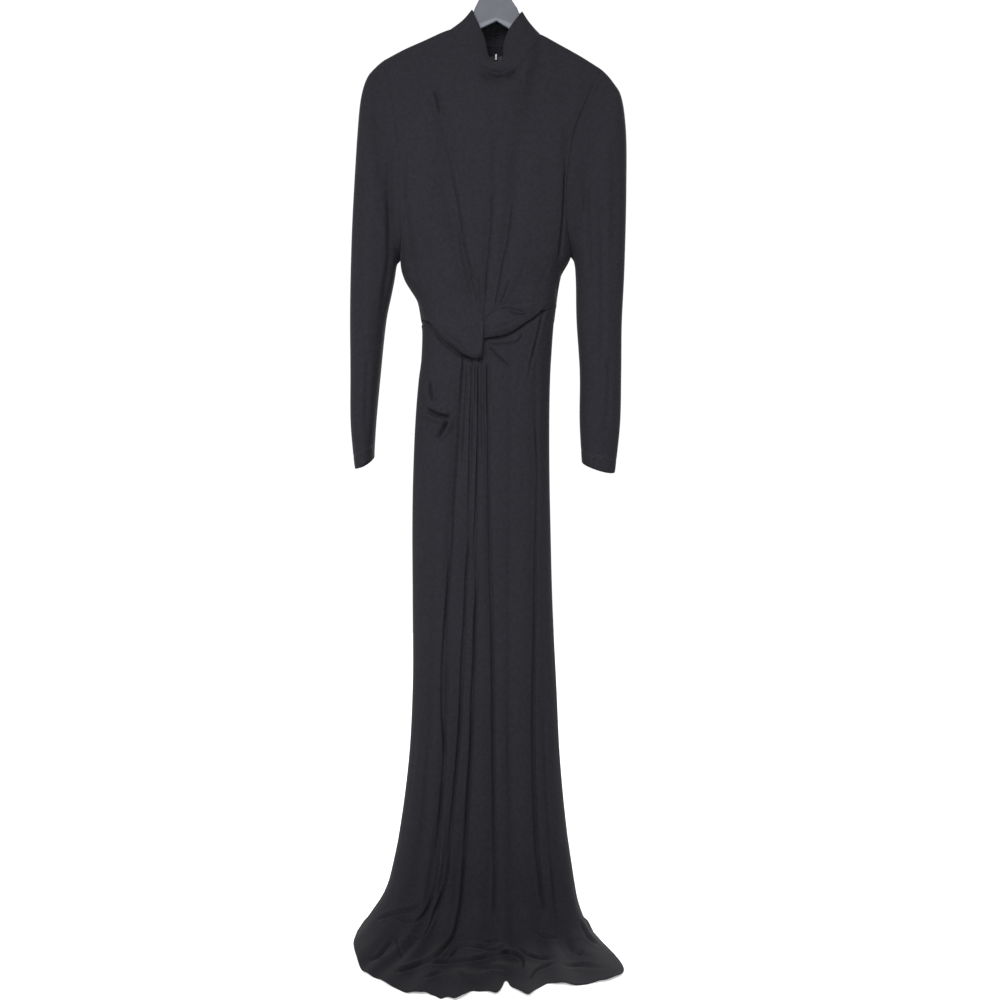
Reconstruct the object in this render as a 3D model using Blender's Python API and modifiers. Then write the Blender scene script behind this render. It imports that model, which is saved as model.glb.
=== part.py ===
"""Maxi dress of draped jersey, hung on a hanger, with its hem pooled on the floor.

Frame: the origin is inside the top of the hanger's hook, where the rail touches it. +X runs to the
right as the front is seen, +Y to the back and +Z up. Sizes are in millimetres, and a "drop" is a
distance below the origin. "Left" and "right" are as the front is seen.
"""
import math
from typing import NamedTuple

import bmesh
import bpy
from mathutils import Matrix, Vector

MM = 0.001

# Driving dimensions
CLOTH = 1.5  # wall of the jersey
SEAM = 0.5  # half the gap at a sewn seam
SHOULDER_SEAM = 1.6  # the same over the shoulder, where the cloth bends sharply
BACK_SEAM = 1.1  # the same down the middle of the skirt's back, between two troughs
LAP = 2.8  # how far a piece that lies on another stands out from it
LAP_DROP = 586.0  # where the drape starts to lie on the skirt
LAP_REACH = 8.0  # how far from the side seam it takes to stand out in full
FLOOR = 1581.5  # drop of the floor under the pooled hem
SECTION_SQUARE = 2.6  # how square the dress's sections are: 2 is an ellipse
BODICE_SQUARE = 2.3
HIP_DROP = 700.0  # where the skirt's rows turn level
BREAK_DROP = 1500.0  # where the skirt starts to spread over the floor
WAIST_DROP = 604.5  # waist seam at the back
ZIP_HALF_GAP = 3.2  # half the distance between the back edges beside the zip
ZIP_TOP = 172.0  # drop of the slider's upper end
ZIP_END = 752.0
TAPE_HALF_WIDTH = 10.0
TAPE_WALL = 1.0
CHAIN_HALF_WIDTH = 2.4
CHAIN_WALL = 1.6
SLIDER_SIZE = (8.4, 2.6, 12.0)  # width, depth and height of its body
SLIDER_Y = 34.45  # the inner face of its outer plate
SLIDER_NECK = (3.0, 2.6)  # width and height of the bridge between its plates
SLIDER_INNER = (5.0, 1.7, 9.0)  # width, depth and height of its inner plate
SLIDER_INNER_Y = 30.0  # the outer face of its inner plate
BAIL_WIDTH = 1.8
BAIL_BAR = 1.2
BAIL_OPENING = 4.4
BAIL_RISE = 2.35
TAB_DROP = 177.8  # the pull tab's hinge line
TAB_OUT = 1.2  # how far the hinge line is out from the slider's face
TAB_LENGTH = 22.0
TAB_THICK = 1.0
TAB_OUTLINE = (  # right half, (x, distance below the hinge line)
    (2.0, -0.7), (2.6, -0.1), (2.6, 7.0), (2.0, 10.0), (1.7, 13.0), (2.4, 18.0), (2.2, 21.0),
    (1.2, TAB_LENGTH),
)
TAB_EYE = ((-1.3, 0.7), (-1.3, 4.6), (1.3, 4.6), (1.3, 0.7))
TAB_ROUNDING = 0.15
ZIP_STEP = 40.0  # distance between the sections of the zip's tape and chain
HANGER_THICK = 7.0
HANGER_ROUNDING = 1.6
HOOK_WIRE = 4.0
HOOK_BEND = 22.0  # radius of the wire's centre line round the rail
HOOK_START, HOOK_STEP, HOOK_STEPS = -38.0, 19.0, 13  # degrees round the bend, and how many points
HOOK_SHANK = ((0.0, 74.1), (0.0, 66.0), (1.5, 60.5), (6.0, 55.0), (13.0, 48.5))  # (x, drop)
FASTENER_WIRE = 0.5  # radius of the collar's hook and eye
EYE_Y = 29.4
EYE_DROP = 141.5
EYE_HALF_WIDTH = 2.5

JERSEY = (0.030, 0.031, 0.036)
HANGER_GREY = (0.155, 0.165, 0.215)
STEEL = (0.62, 0.62, 0.63)
ZIP_TAPE = (0.022, 0.022, 0.026)
ZIP_COIL = (0.030, 0.030, 0.033)
ZIP_METAL = (0.55, 0.55, 0.57)


class Section(NamedTuple):
    """A level section of the dress: where its sides are and how deep it is."""
    drop: float
    left: float
    right: float
    front: float
    back: float


SECTIONS = (
    Section(575, -122.0, 96.3, 57, 34),
    Section(598, -118.8, 93.3, 57, 35),
    Section(661, -119.7, 88.6, 55, 36),
    Section(693, -123.7, 87.0, 54, 38),
    Section(789, -130.3, 85.6, 54, 43),
    Section(917, -133.8, 87.3, 56, 47),
    Section(1046, -134.1, 90.7, 58, 50),
    Section(1175, -134.3, 97.3, 60, 52),
    Section(1304, -141.1, 103.9, 64, 56),
    Section(1434, -159.1, 117.0, 72, 62),
    Section(1500, -173.0, 127.0, 79, 68),
)


class Fold(NamedTuple):
    """A line down the skirt, on a ridge or in a trough.

    The shares are its places across the width, from the left seam, at FOLD_LEVELS. The outs say how
    far it stands out there. Then come its place at the hem, its height in the pool and how much it
    flares.
    """
    shares: tuple
    outs: tuple
    hem_x: float
    hem_y: float
    lift: float
    flare: float


FOLD_LEVELS = (600, 720, 1050, 1300, 1500)
KNEE_LEVEL = 2
WIDE_SHARE = 0.055  # folds further apart than this get a line of points between them

FRONT_FOLDS = (
    Fold((0.000, 0.000, 0.000, 0.000, 0.000), (0, 0, 0, 0, 0), -224, -12, 4, 1.00),
    Fold((0.030, 0.030, 0.035, 0.040, 0.033), (0, 0, 0, 1, 2), -224, -75, 9, 0.75),
    Fold((0.090, 0.094, 0.107, 0.078, 0.080), (1, 3, 3, 5, 8), -214, -142, 18, 0.50),
    Fold((0.145, 0.170, 0.160, 0.135, 0.157), (0, 0, -1, -4, -8), -202, -196, 0, 0.30),
    Fold((0.250, 0.235, 0.196, 0.188, 0.197), (1, 4, 4, 5, 7), -191, -220, 16, 0.20),
    Fold((0.343, 0.330, 0.253, 0.237, 0.237), (-3, -7, -8, -9, -10), -177, -238, 0, 0.12),
    Fold((0.372, 0.381, 0.316, 0.273, 0.261), (0, 2, 4, 5, 4), -160, -262, 15, 0.08),
    Fold((0.395, 0.433, 0.391, 0.322, 0.288), (-2, -3, -5, -6, -6), -136, -286, 0, 0.04),
    Fold((0.409, 0.449, 0.422, 0.363, 0.334), (-1, -1, 2, 5, 6), -110, -302, 14, 0.00),
    Fold((0.424, 0.464, 0.453, 0.408, 0.391), (-2, -4, -5, -7, -8), -84, -309, 0, 0.00),
    Fold((0.447, 0.494, 0.502, 0.486, 0.482), (1, 3, 5, 7, 8), -52, -318, 15, 0.00),
    Fold((0.475, 0.527, 0.558, 0.560, 0.568), (-3, -5, -6, -7, -8), -25, -295, 0, 0.00),
    Fold((0.570, 0.621, 0.631, 0.608, 0.619), (2, 4, 5, 6, 7), 0, -297, 13, 0.00),
    Fold((0.664, 0.706, 0.687, 0.653, 0.672), (0, -2, -4, -4, -6), 17, -270, 0, 0.00),
    Fold((0.758, 0.800, 0.778, 0.735, 0.739), (1, 3, 5, 6, 7), 43, -310, 15, 0.00),
    Fold((0.843, 0.894, 0.867, 0.816, 0.809), (-1, -3, -6, -7, -8), 69, -277, 0, 0.00),
    Fold((0.890, 0.927, 0.898, 0.853, 0.846), (0, 1, 2, 4, 5), 99, -259, 12, 0.00),
    Fold((0.923, 0.948, 0.924, 0.886, 0.873), (0, 0, 0, -3, -5), 130, -254, 0, 0.04),
    Fold((0.951, 0.967, 0.956, 0.935, 0.930), (0, 0, 1, 4, 5), 172, -243, 14, 0.10),
    Fold((0.976, 0.984, 0.982, 0.971, 0.967), (0, 0, 0, 1, 2), 192, -190, 6, 0.30),
    Fold((1.000, 1.000, 1.000, 1.000, 1.000), (0, 0, 0, 0, 0), 157, -12, 4, 0.60),
)

BACK_LEFT_FOLDS = (
    Fold((0.500, 0.500, 0.500, 0.500, 0.500), (0, 0, 0, 0, 0), -34, 158, 4, 0.35),
    Fold((0.440, 0.435, 0.425, 0.430, 0.425), (1, 2, -5, -6, -6), -88, 152, 0, 0.40),
    Fold((0.350, 0.350, 0.340, 0.350, 0.350), (1, 3, 5, 6, 7), -138, 138, 15, 0.50),
    Fold((0.240, 0.250, 0.250, 0.240, 0.250), (-1, -4, -6, -7, -8), -184, 100, 0, 0.65),
    Fold((0.120, 0.130, 0.140, 0.130, 0.130), (1, 3, 4, 6, 6), -213, 52, 14, 0.85),
    Fold((0.000, 0.000, 0.000, 0.000, 0.000), (0, 0, 0, 0, 0), -224, -12, 4, 1.00),
)

BACK_RIGHT_FOLDS = (
    Fold((1.000, 1.000, 1.000, 1.000, 1.000), (0, 0, 0, 0, 0), 157, -12, 4, 0.60),
    Fold((0.880, 0.870, 0.870, 0.860, 0.870), (1, 3, 4, 5, 6), 146, 55, 13, 0.55),
    Fold((0.760, 0.770, 0.760, 0.750, 0.760), (-1, -3, -6, -7, -7), 112, 106, 0, 0.50),
    Fold((0.650, 0.660, 0.640, 0.650, 0.650), (1, 3, 5, 7, 7), 66, 139, 16, 0.45),
    Fold((0.560, 0.565, 0.560, 0.565, 0.570), (1, 2, -4, -6, -6), 18, 153, 0, 0.40),
    Fold((0.500, 0.500, 0.500, 0.500, 0.500), (0, 0, 0, 0, 0), -34, 158, 4, 0.35),
)


class PoolRow(NamedTuple):
    """A row of the pooled hem: how far out it is, how high, how much its folds and rolls rise.

    The first column is for cloth that drops straight and then spreads, the second for cloth that
    flares all the way down.
    """
    out: float
    flare_out: float
    height: float
    lift: float
    roll: float


POOL_ROWS = (
    PoolRow(0.05, 0.26, 0.62, 0.25, 0.0),
    PoolRow(0.15, 0.56, 0.32, 0.60, 0.0),
    PoolRow(0.29, 0.77, 0.13, 0.95, 0.3),
    PoolRow(0.43, 0.86, 0.05, 1.00, 1.0),
    PoolRow(0.57, 0.91, 0.02, 0.90, 0.1),
    PoolRow(0.72, 0.95, 0.00, 0.80, 0.8),
    PoolRow(0.87, 0.98, 0.00, 0.65, 0.0),
    PoolRow(1.00, 1.00, 0.00, 0.50, 0.0),
)
POOL_ROLL = 13.0  # height of the rolls across the middle of the pool's front
ROLL_CENTRE = -15.0
ROLL_REACH = 75.0


class TopEdge(NamedTuple):
    """A point of the skirt front's upper edge, under the drape and the twist."""
    share: float
    drop: float


SKIRT_TOP = (
    TopEdge(0.00, 600.5), TopEdge(0.04, 605.4), TopEdge(0.09, 609.5), TopEdge(0.18, 616.0),
    TopEdge(0.30, 623.0), TopEdge(0.40, 625.0), TopEdge(0.46, 622.0), TopEdge(0.57, 612.0),
    TopEdge(0.69, 602.0), TopEdge(0.80, 592.0), TopEdge(0.93, 580.4), TopEdge(1.00, 575.5),
)
SKIRT_DROPS = (750, 810, 880, 960, 1040, 1120, 1200, 1280, 1350, 1410, 1460, 1500)


class CollarLine(NamedTuple):
    """A line up the funnel collar, from the neck seam to its upper edge."""
    base_x: float
    base_y: float
    base_drop: float
    top_x: float
    top_y: float
    top_drop: float
    bow: float


COLLAR_BACK_LEFT = (
    CollarLine(-0.8, 33.0, 160.0, -0.8, 27.0, 113.5, 2.0),
    CollarLine(-27.0, 31.5, 156.5, -13.0, 25.5, 112.5, 2.0),
    CollarLine(-48.0, 26.0, 150.0, -25.0, 20.0, 111.0, 1.5),
    CollarLine(-63.0, 14.5, 142.5, -34.0, 11.0, 109.5, -1.0),
    CollarLine(-71.0, 0.0, 138.5, -38.0, 0.0, 109.0, -2.8),
)
COLLAR_BACK_RIGHT = (
    CollarLine(0.8, 33.0, 160.0, 0.8, 27.0, 113.5, 2.0),
    CollarLine(26.0, 31.5, 158.0, 13.0, 25.5, 113.0, 2.0),
    CollarLine(47.5, 26.0, 153.5, 25.0, 20.0, 112.5, 1.5),
    CollarLine(62.0, 14.5, 149.0, 36.0, 11.0, 112.0, -0.8),
    CollarLine(70.0, 0.0, 146.5, 41.8, 0.0, 112.0, -2.0),
)
COLLAR_FRONT = (
    CollarLine(-71.0, 0.0, 138.5, -38.0, 0.0, 109.0, -2.8),
    CollarLine(-69.0, -9.5, 143.5, -37.0, -8.5, 112.0, -2.2),
    CollarLine(-58.0, -22.5, 160.5, -26.0, -15.0, 136.5, 1.0),
    CollarLine(-42.0, -34.0, 181.0, -17.0, -17.5, 158.5, 2.5),
    CollarLine(-23.0, -43.0, 202.5, -10.5, -19.5, 185.5, 4.5),
    CollarLine(1.5, -46.5, 215.6, 2.0, -21.5, 199.5, 6.0),
    CollarLine(23.0, -44.0, 209.0, 10.5, -19.5, 186.5, 4.5),
    CollarLine(40.0, -36.5, 195.5, 12.0, -18.0, 166.0, 3.0),
    CollarLine(57.0, -23.0, 170.5, 21.0, -15.5, 141.0, 1.0),
    CollarLine(67.0, -9.5, 152.5, 39.5, -8.5, 115.0, -1.6),
    CollarLine(70.0, 0.0, 146.5, 41.8, 0.0, 112.0, -2.0),
)
COLLAR_ROWS = (0.03, 0.26, 0.5, 0.75, 1.0)
NECK_SHARE = 0.42  # how much of a bodice panel's upper edge is the neck
FRONT_COLUMNS = (  # places across half the front, from the middle out
    0.0, 0.07, 0.14, 0.21, 0.28, 0.35, 0.42, 0.5, 0.58, 0.67, 0.76, 0.85, 0.93, 0.975, 1.0,
)
BACK_COLUMNS = (0.0, 0.1, 0.2, 0.31, 0.42, 0.56, 0.7, 0.83, 0.93, 0.98, 1.0)


class Armhole(NamedTuple):
    """A point of an armhole, from the shoulder to the underarm, with both depths."""
    x: float
    drop: float
    front: float
    back: float


LEFT_ARMHOLE = (
    Armhole(-177.0, 187.5, 1.6, 1.6), Armhole(-176.0, 191.5, 6.4, 6.4),
    Armhole(-172.0, 212.0, 15.0, 12.0), Armhole(-164.0, 252.0, 27.0, 20.0),
    Armhole(-156.0, 305.0, 36.0, 26.0), Armhole(-150.0, 365.0, 40.0, 29.0),
    Armhole(-147.0, 425.0, 38.0, 27.0), Armhole(-149.0, 470.0, 27.0, 19.0),
    Armhole(-152.5, 505.0, 1.0, 1.0),
)
RIGHT_ARMHOLE = (
    Armhole(165.0, 200.5, 1.6, 1.6), Armhole(164.0, 205.0, 6.4, 6.4),
    Armhole(155.0, 224.0, 15.0, 12.0), Armhole(140.0, 260.0, 27.0, 20.0),
    Armhole(123.0, 305.0, 36.0, 26.0), Armhole(113.5, 362.0, 40.0, 29.0),
    Armhole(111.0, 425.0, 38.0, 27.0), Armhole(113.5, 466.0, 27.0, 19.0),
    Armhole(119.0, 499.0, 1.0, 1.0),
)


class Line(NamedTuple):
    """A point of the line down the middle of the bodice front or back."""
    x: float
    y: float
    drop: float
    neck: float  # how much the row through it still follows the neck and the shoulder
    slit: float = 0.0  # half the gap between the pieces on its two sides


FRONT_LINE = (
    Line(1.5, -46.5, 216.4, 1.00), Line(1.4, -48.0, 222.0, 1.00), Line(1.3, -51.0, 244.0, 0.75),
    Line(0.8, -55.0, 282.0, 0.45), Line(-0.2, -57.5, 327.0, 0.20), Line(-2.0, -58.5, 378.0, 0.07),
    Line(-5.5, -58.5, 430.0, 0.00), Line(-9.5, -58.0, 470.0, 0.00), Line(-13.0, -58.0, 507.0, 0.00),
)
LEFT_LINE_END = (
    Line(-15.0, -59.0, 548.0, 0.0, 0.8), Line(-18.5, -61.5, 590.0, 0.0, 1.0),
    Line(-21.0, -64.0, 630.0, 0.0, 1.0), Line(-21.0, -64.0, 664.0, 0.0, 1.0),
)
RIGHT_LINE_END = (
    Line(-14.5, -58.0, 532.0, 0.0, 0.8), Line(-16.5, -58.5, 560.0, 0.0, 1.0),
    Line(-19.0, -59.0, 586.0, 0.0, 1.0), Line(-20.5, -59.5, 607.0, 0.0, 1.0),
)
BACK_LINE = (
    Line(0.0, 33.0, 160.8, 1.00), Line(0.0, 33.5, 166.0, 1.00), Line(0.0, 34.0, 190.0, 0.70),
    Line(-0.5, 34.5, 235.0, 0.35), Line(-1.5, 35.0, 290.0, 0.12), Line(-3.0, 35.5, 350.0, 0.00),
    Line(-5.0, 36.0, 410.0, 0.00), Line(-7.0, 36.0, 458.0, 0.00), Line(-9.0, 35.6, 505.0, 0.00),
    Line(-10.8, 35.3, 540.0, 0.00), Line(-12.0, 35.1, 572.0, 0.00), Line(-12.9, 35.1, 603.5, 0.00),
)


class Side(NamedTuple):
    """A point of a side seam."""
    x: float
    drop: float


LEFT_SIDE_FRONT = (Side(-146.0, 534), Side(-126.7, 566), Side(-120.0, 584), Side(-118.8, 598.5))
RIGHT_SIDE_FRONT = (Side(107.5, 518), Side(102.0, 537), Side(98.5, 556), Side(96.0, 573.5))
LEFT_SIDE_BACK = (Side(-146.0, 534), Side(-126.7, 566), Side(-118.9, 603.5))
RIGHT_SIDE_BACK = (Side(103.5, 530), Side(98.5, 560), Side(93.0, 603.5))
ROLL_START, ROLL_SPAN = 0.3, 0.15  # where the panel's second row turns from the neck to the shoulder
NECK_ROLL = (1.0, 6.0)  # how far out and down the second row is below the neck
SHOULDER_ROLL = (5.8, 4.0)  # the same over the shoulder
CREASE_FADE = (30.0, 30.0, 10.0)  # how a crease fades: before and after its start, and past its end
EDGE_FADE = 0.12  # share of a panel beside its outer edge where the creases fade
LEFT_SHOULDER = ((-87.0, 144.5), (-112.0, 156.0), (-145.0, 170.6))
RIGHT_SHOULDER = ((79.0, 150.8), (100.0, 162.4), (134.0, 181.2))


class Crease(NamedTuple):
    """A fold of the bodice, from its start to its end."""
    points: tuple  # (x, drop) down the fold
    half_width: float
    out: float


CREASES = (
    Crease(((-88, 243), (-72, 345), (-50, 471), (-25, 600)), 11, -7),
    Crease(((-82, 380), (-63, 471), (-33, 590)), 9, -5),
    Crease(((-58, 300), (-40, 440), (-22, 560)), 11, 4),
    Crease(((-110, 300), (-100, 420), (-70, 560)), 14, 4),
    Crease(((-142, 330), (-144, 408), (-135, 471), (-126, 550)), 9, -6),
    Crease(((0, 330), (-6, 430), (-13, 520), (-20, 600)), 7, -7),
    Crease(((34, 330), (23, 440), (5, 560)), 9, -5),
    Crease(((12, 340), (6, 440), (-6, 560)), 8, 3),
    Crease(((60, 330), (50, 440), (22, 560)), 14, 4),
    Crease(((111, 300), (110, 408), (104, 471), (99, 545)), 8, -6),
)


class Ring(NamedTuple):
    """A section of a sleeve, from its outer to its inner side."""
    outer_x: float
    outer_drop: float
    inner_x: float
    inner_drop: float
    front: float
    back: float


LEFT_RINGS = (
    Ring(-190.5, 198.5, -154.2, 506.5, 27, 22),
    Ring(-203.0, 213.5, -155.8, 508.0, 33, 27),
    Ring(-212.5, 242.0, -157.3, 510.0, 38, 31),
    Ring(-219.5, 300.0, -158.8, 514.0, 40, 33),
    Ring(-226.0, 400.0, -160.0, 521.0, 39, 34),
    Ring(-231.0, 510.0, -162.5, 536.0, 37, 34),
    Ring(-233.0, 600.0, -174.6, 598.0, 36, 34),
    Ring(-232.3, 690.0, -184.3, 688.0, 35, 34),
    Ring(-231.5, 765.0, -191.0, 760.0, 35, 34),
    Ring(-225.5, 831.0, -194.5, 812.0, 34, 34),
)
RIGHT_RINGS = (
    Ring(175.5, 210.0, 121.0, 500.5, 27, 22),
    Ring(186.0, 223.0, 122.5, 502.5, 33, 27),
    Ring(197.5, 240.0, 124.0, 505.5, 37, 30),
    Ring(205.5, 285.0, 125.5, 512.0, 37, 31),
    Ring(207.3, 390.0, 126.5, 523.0, 35, 31),
    Ring(204.5, 505.0, 127.5, 545.0, 33, 30),
    Ring(200.5, 600.0, 128.6, 600.0, 31, 29),
    Ring(200.0, 680.0, 134.0, 682.0, 30, 29),
    Ring(198.5, 760.0, 134.0, 758.0, 29, 28),
    Ring(190.5, 838.0, 137.0, 822.0, 28, 28),
)
CUFF_SAG = 8.0  # how far the cuff's front hangs below its sides
SLEEVE_SQUARE = 0.8  # below 1 the sleeve's rings are fuller than ellipses
ARMHOLE_PULL = (0.6, 0.3, 0.1)  # how much the first rings still follow the armhole


class LoopColumn(NamedTuple):
    """A section of the loop of cloth that leaves the twist, from its upper to its lower edge."""
    x: float
    upper: float
    lower: float
    puff: float


LOOP = (
    LoopColumn(-18.4, 600.0, 629.0, 4.5), LoopColumn(-14.0, 595.0, 627.0, 7.5),
    LoopColumn(-8.0, 588.0, 624.0, 9.0), LoopColumn(3.0, 579.5, 619.0, 9.5),
    LoopColumn(15.0, 581.5, 615.5, 8.5), LoopColumn(28.0, 586.5, 610.0, 7.0),
    LoopColumn(42.0, 587.0, 604.0, 5.5), LoopColumn(56.0, 583.5, 597.0, 4.5),
    LoopColumn(70.0, 577.0, 589.5, 4.0), LoopColumn(81.0, 573.0, 583.5, 3.2),
    LoopColumn(89.0, 571.5, 579.5, 2.2),
)
LOOP_ROWS = (0.0, 0.18, 0.5, 0.82, 1.0)
LOOP_REST = 620.0  # drop where the skirt stands out furthest behind the loop

HANGER_OUTLINE = (
    (0.0, 74.5), (-8.0, 75.5), (-16.0, 79.5), (-22.5, 86.0), (-26.8, 93.3), (-33.0, 105.5),
    (-36.5, 115.0), (-45.0, 123.5), (-60.0, 137.0), (-84.0, 148.4), (-120.0, 163.6),
    (-150.0, 177.0), (-175.0, 191.0), (-184.5, 199.5), (-187.0, 207.0), (-182.0, 211.0),
    (-150.0, 197.0), (-110.0, 178.5), (-70.0, 160.0), (-40.0, 146.5), (-25.3, 139.2), (0.9, 126.5),
    (21.0, 139.2), (36.0, 152.0), (66.0, 171.0), (105.0, 191.0), (135.0, 206.5), (163.0, 221.0),
    (170.0, 219.0), (169.5, 212.5), (162.0, 206.0), (138.0, 191.0), (112.0, 176.4), (80.0, 160.2),
    (62.0, 149.6), (49.0, 136.0), (39.0, 119.0), (33.3, 106.0), (24.6, 93.3), (20.5, 86.0),
    (14.5, 79.5), (8.0, 75.5),
)


def place(x, y, drop):
    """Gives a point in metres from millimetres and a drop."""
    return Vector((x * MM, y * MM, -drop * MM))


def smooth(keys, values, at):
    """Reads a smooth curve through points at one place: a cubic with averaged slopes."""
    if at <= keys[0]:
        return values[0]
    if at >= keys[-1]:
        return values[-1]
    index = max(i for i, key in enumerate(keys[:-1]) if key <= at)
    slopes = [(values[i + 1] - values[i]) / (keys[i + 1] - keys[i]) for i in range(len(keys) - 1)]
    start = slopes[max(index - 1, 0)] / 2 + slopes[index] / 2
    end = slopes[index] / 2 + slopes[min(index + 1, len(slopes) - 1)] / 2
    span = keys[index + 1] - keys[index]
    t = (at - keys[index]) / span
    return (
        values[index] * (1 + 2 * t) * (1 - t) ** 2
        + values[index + 1] * t * t * (3 - 2 * t)
        + span * (start * t * (1 - t) ** 2 - end * t * t * (1 - t))
    )


def read(table, column, at, key="drop"):
    """Reads a column of a table at a key, as a smooth curve."""
    keys = [getattr(row, key) for row in table]
    return smooth(keys, [getattr(row, column) for row in table], at)


def along(points, at):
    """Reads a smooth curve through evenly spaced points at a share of its length."""
    keys = [index / (len(points) - 1) for index in range(len(points))]
    return [smooth(keys, values, at) for values in zip(*points)]


def blend(a, b, t):
    """Mixes two values."""
    return a + (b - a) * t


def ease(t):
    """Eases 0 to 1 with level ends."""
    t = min(max(t, 0.0), 1.0)
    return t * t * (3 - 2 * t)


def round_off(share, square):
    """Falls from 1 at share 0 to 0 at share 1 along a superellipse."""
    return max(0.0, 1 - min(abs(share), 1.0) ** square) ** (1 / square)


def section_width(drop):
    """Gives the left and right sides of the dress at a drop."""
    return read(SECTIONS, "left", drop), read(SECTIONS, "right", drop)


def fold_at(folds, position, drop):
    """Gives the share and the out of a place between the fold lines, at a drop."""
    index = min(int(position), len(folds) - 2)
    part = position - index
    near, far = folds[index], folds[index + 1]
    share = blend(smooth(FOLD_LEVELS, near.shares, drop), smooth(FOLD_LEVELS, far.shares, drop), part)
    out = blend(smooth(FOLD_LEVELS, near.outs, drop), smooth(FOLD_LEVELS, far.outs, drop), ease(part))
    return share, out


def section_depth(share, drop, side):
    """Gives the plain depth of the dress's front or back at a share of its width."""
    return read(SECTIONS, side, drop) * round_off(2 * share - 1, SECTION_SQUARE)


def skirt_point(folds, position, drop, side):
    """Gives a point of the skirt's outer surface above the pool."""
    share, out = fold_at(folds, position, drop)
    left, right = section_width(drop)
    depth = max(section_depth(share, drop, side) + out, SEAM)
    return blend(left, right, share), depth if side == "back" else -depth


def front_depth(x, drop):
    """Gives how far the skirt front's outer surface stands forward at a place."""
    left, right = section_width(drop)
    share = (x - left) / (right - left)
    lines = [smooth(FOLD_LEVELS, fold.shares, drop) for fold in FRONT_FOLDS]
    index = max([i for i, line in enumerate(lines[:-1]) if line <= share], default=0)
    part = (share - lines[index]) / (lines[index + 1] - lines[index])
    return -skirt_point(FRONT_FOLDS, index + min(max(part, 0.0), 1.0), drop, "front")[1]


def pool_row(folds, positions, row, side):
    """Gives a row of points of the pooled hem."""
    points = []
    for position in positions:
        x, y = skirt_point(folds, position, BREAK_DROP, side)
        index = min(int(position), len(folds) - 2)
        part = position - index
        near, far = folds[index], folds[index + 1]
        hem_x = blend(near.hem_x, far.hem_x, part)
        hem_y = blend(near.hem_y, far.hem_y, part) + (SEAM if side == "back" else -SEAM)
        lift = blend(near.lift, far.lift, ease(part)) * row.lift
        out = blend(row.out, row.flare_out, blend(near.flare, far.flare, part))
        roll = 0.0
        if side == "front":
            reach = (blend(x, hem_x, out) - ROLL_CENTRE) / ROLL_REACH
            roll = POOL_ROLL * row.roll * math.exp(-reach * reach)
        height = CLOTH + (FLOOR - BREAK_DROP - CLOTH) * row.height + lift + roll
        points.append(place(blend(x, hem_x, out), blend(y, hem_y, out), FLOOR - height))
    return points


def skirt_rows(folds, positions, side, top_drop):
    """Gives the rows of a skirt panel, from its upper edge to the hem."""
    rows = []
    for part in (0.0, 0.2, 0.45, 0.72, 1.0):
        row = []
        for position in positions:
            start = top_drop(fold_at(folds, position, FOLD_LEVELS[0])[0])
            drop = blend(start, HIP_DROP, part)
            row.append(place(*skirt_point(folds, position, drop, side), drop))
        rows.append(row)
    for drop in SKIRT_DROPS:
        rows.append([place(*skirt_point(folds, position, drop, side), drop) for position in positions])
    rows += [pool_row(folds, positions, row, side) for row in POOL_ROWS]
    return rows


def paint(name, colour, roughness, metallic=0.0):
    """Makes a plain material."""
    material = bpy.data.materials.new(name)
    material.use_nodes = True
    shader = material.node_tree.nodes["Principled BSDF"]
    shader.inputs["Base Color"].default_value = (*colour, 1.0)
    shader.inputs["Roughness"].default_value = roughness
    shader.inputs["Metallic"].default_value = metallic
    material.diffuse_color = (*colour, 1.0)
    return material


def keep(collection, piece, colour, roughness=0.9, metallic=0.0):
    """Puts a piece in the dress's collection with a material of its own."""
    for owner in list(piece.users_collection):
        owner.objects.unlink(piece)
    collection.objects.link(piece)
    piece.data.materials.clear()
    piece.data.materials.append(paint(piece.name, colour, roughness, metallic))
    return piece


def sheet(collection, name, *grids, wall=CLOTH, colour=JERSEY, around=False):
    """Makes a cloth piece: an open surface lofted through rows of points, with a wall inwards.

    Grids that share points along an edge are sewn into one surface there.
    """
    shell = bmesh.new()
    for rows in grids:
        grid = [[shell.verts.new(point) for point in row] for row in rows]
        for upper, lower in zip(grid, grid[1:]):
            pairs = list(zip(upper, lower))
            if around:
                pairs.append(pairs[0])
            for (top, bottom), (next_top, next_bottom) in zip(pairs, pairs[1:]):
                shell.faces.new((top, bottom, next_bottom, next_top))
    bmesh.ops.remove_doubles(shell, verts=shell.verts, dist=SEAM * MM / 10)
    mesh = bpy.data.meshes.new(name)
    shell.to_mesh(mesh)
    shell.free()
    mesh.shade_smooth()
    piece = bpy.data.objects.new(name, mesh)
    solidify = piece.modifiers.new("Wall", "SOLIDIFY")
    solidify.thickness = wall * MM
    solidify.offset = -1.0
    return keep(collection, piece, colour)


def crease_out(x, drop):
    """Gives how far the bodice's folds move its front out at a place."""
    before, after, past = CREASE_FADE
    total = 0.0
    for crease in CREASES:
        drops = [point[1] for point in crease.points]
        if drops[0] - before < drop < drops[-1] + past:
            middle = smooth(drops, [point[0] for point in crease.points], drop)
            fade = ease((drop - drops[0] + before) / (before + after))
            fade *= ease((drops[-1] + past - drop) / (3 * past))
            total += crease.out * fade * math.exp(-(((x - middle) / crease.half_width) ** 2))
    return total


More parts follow.
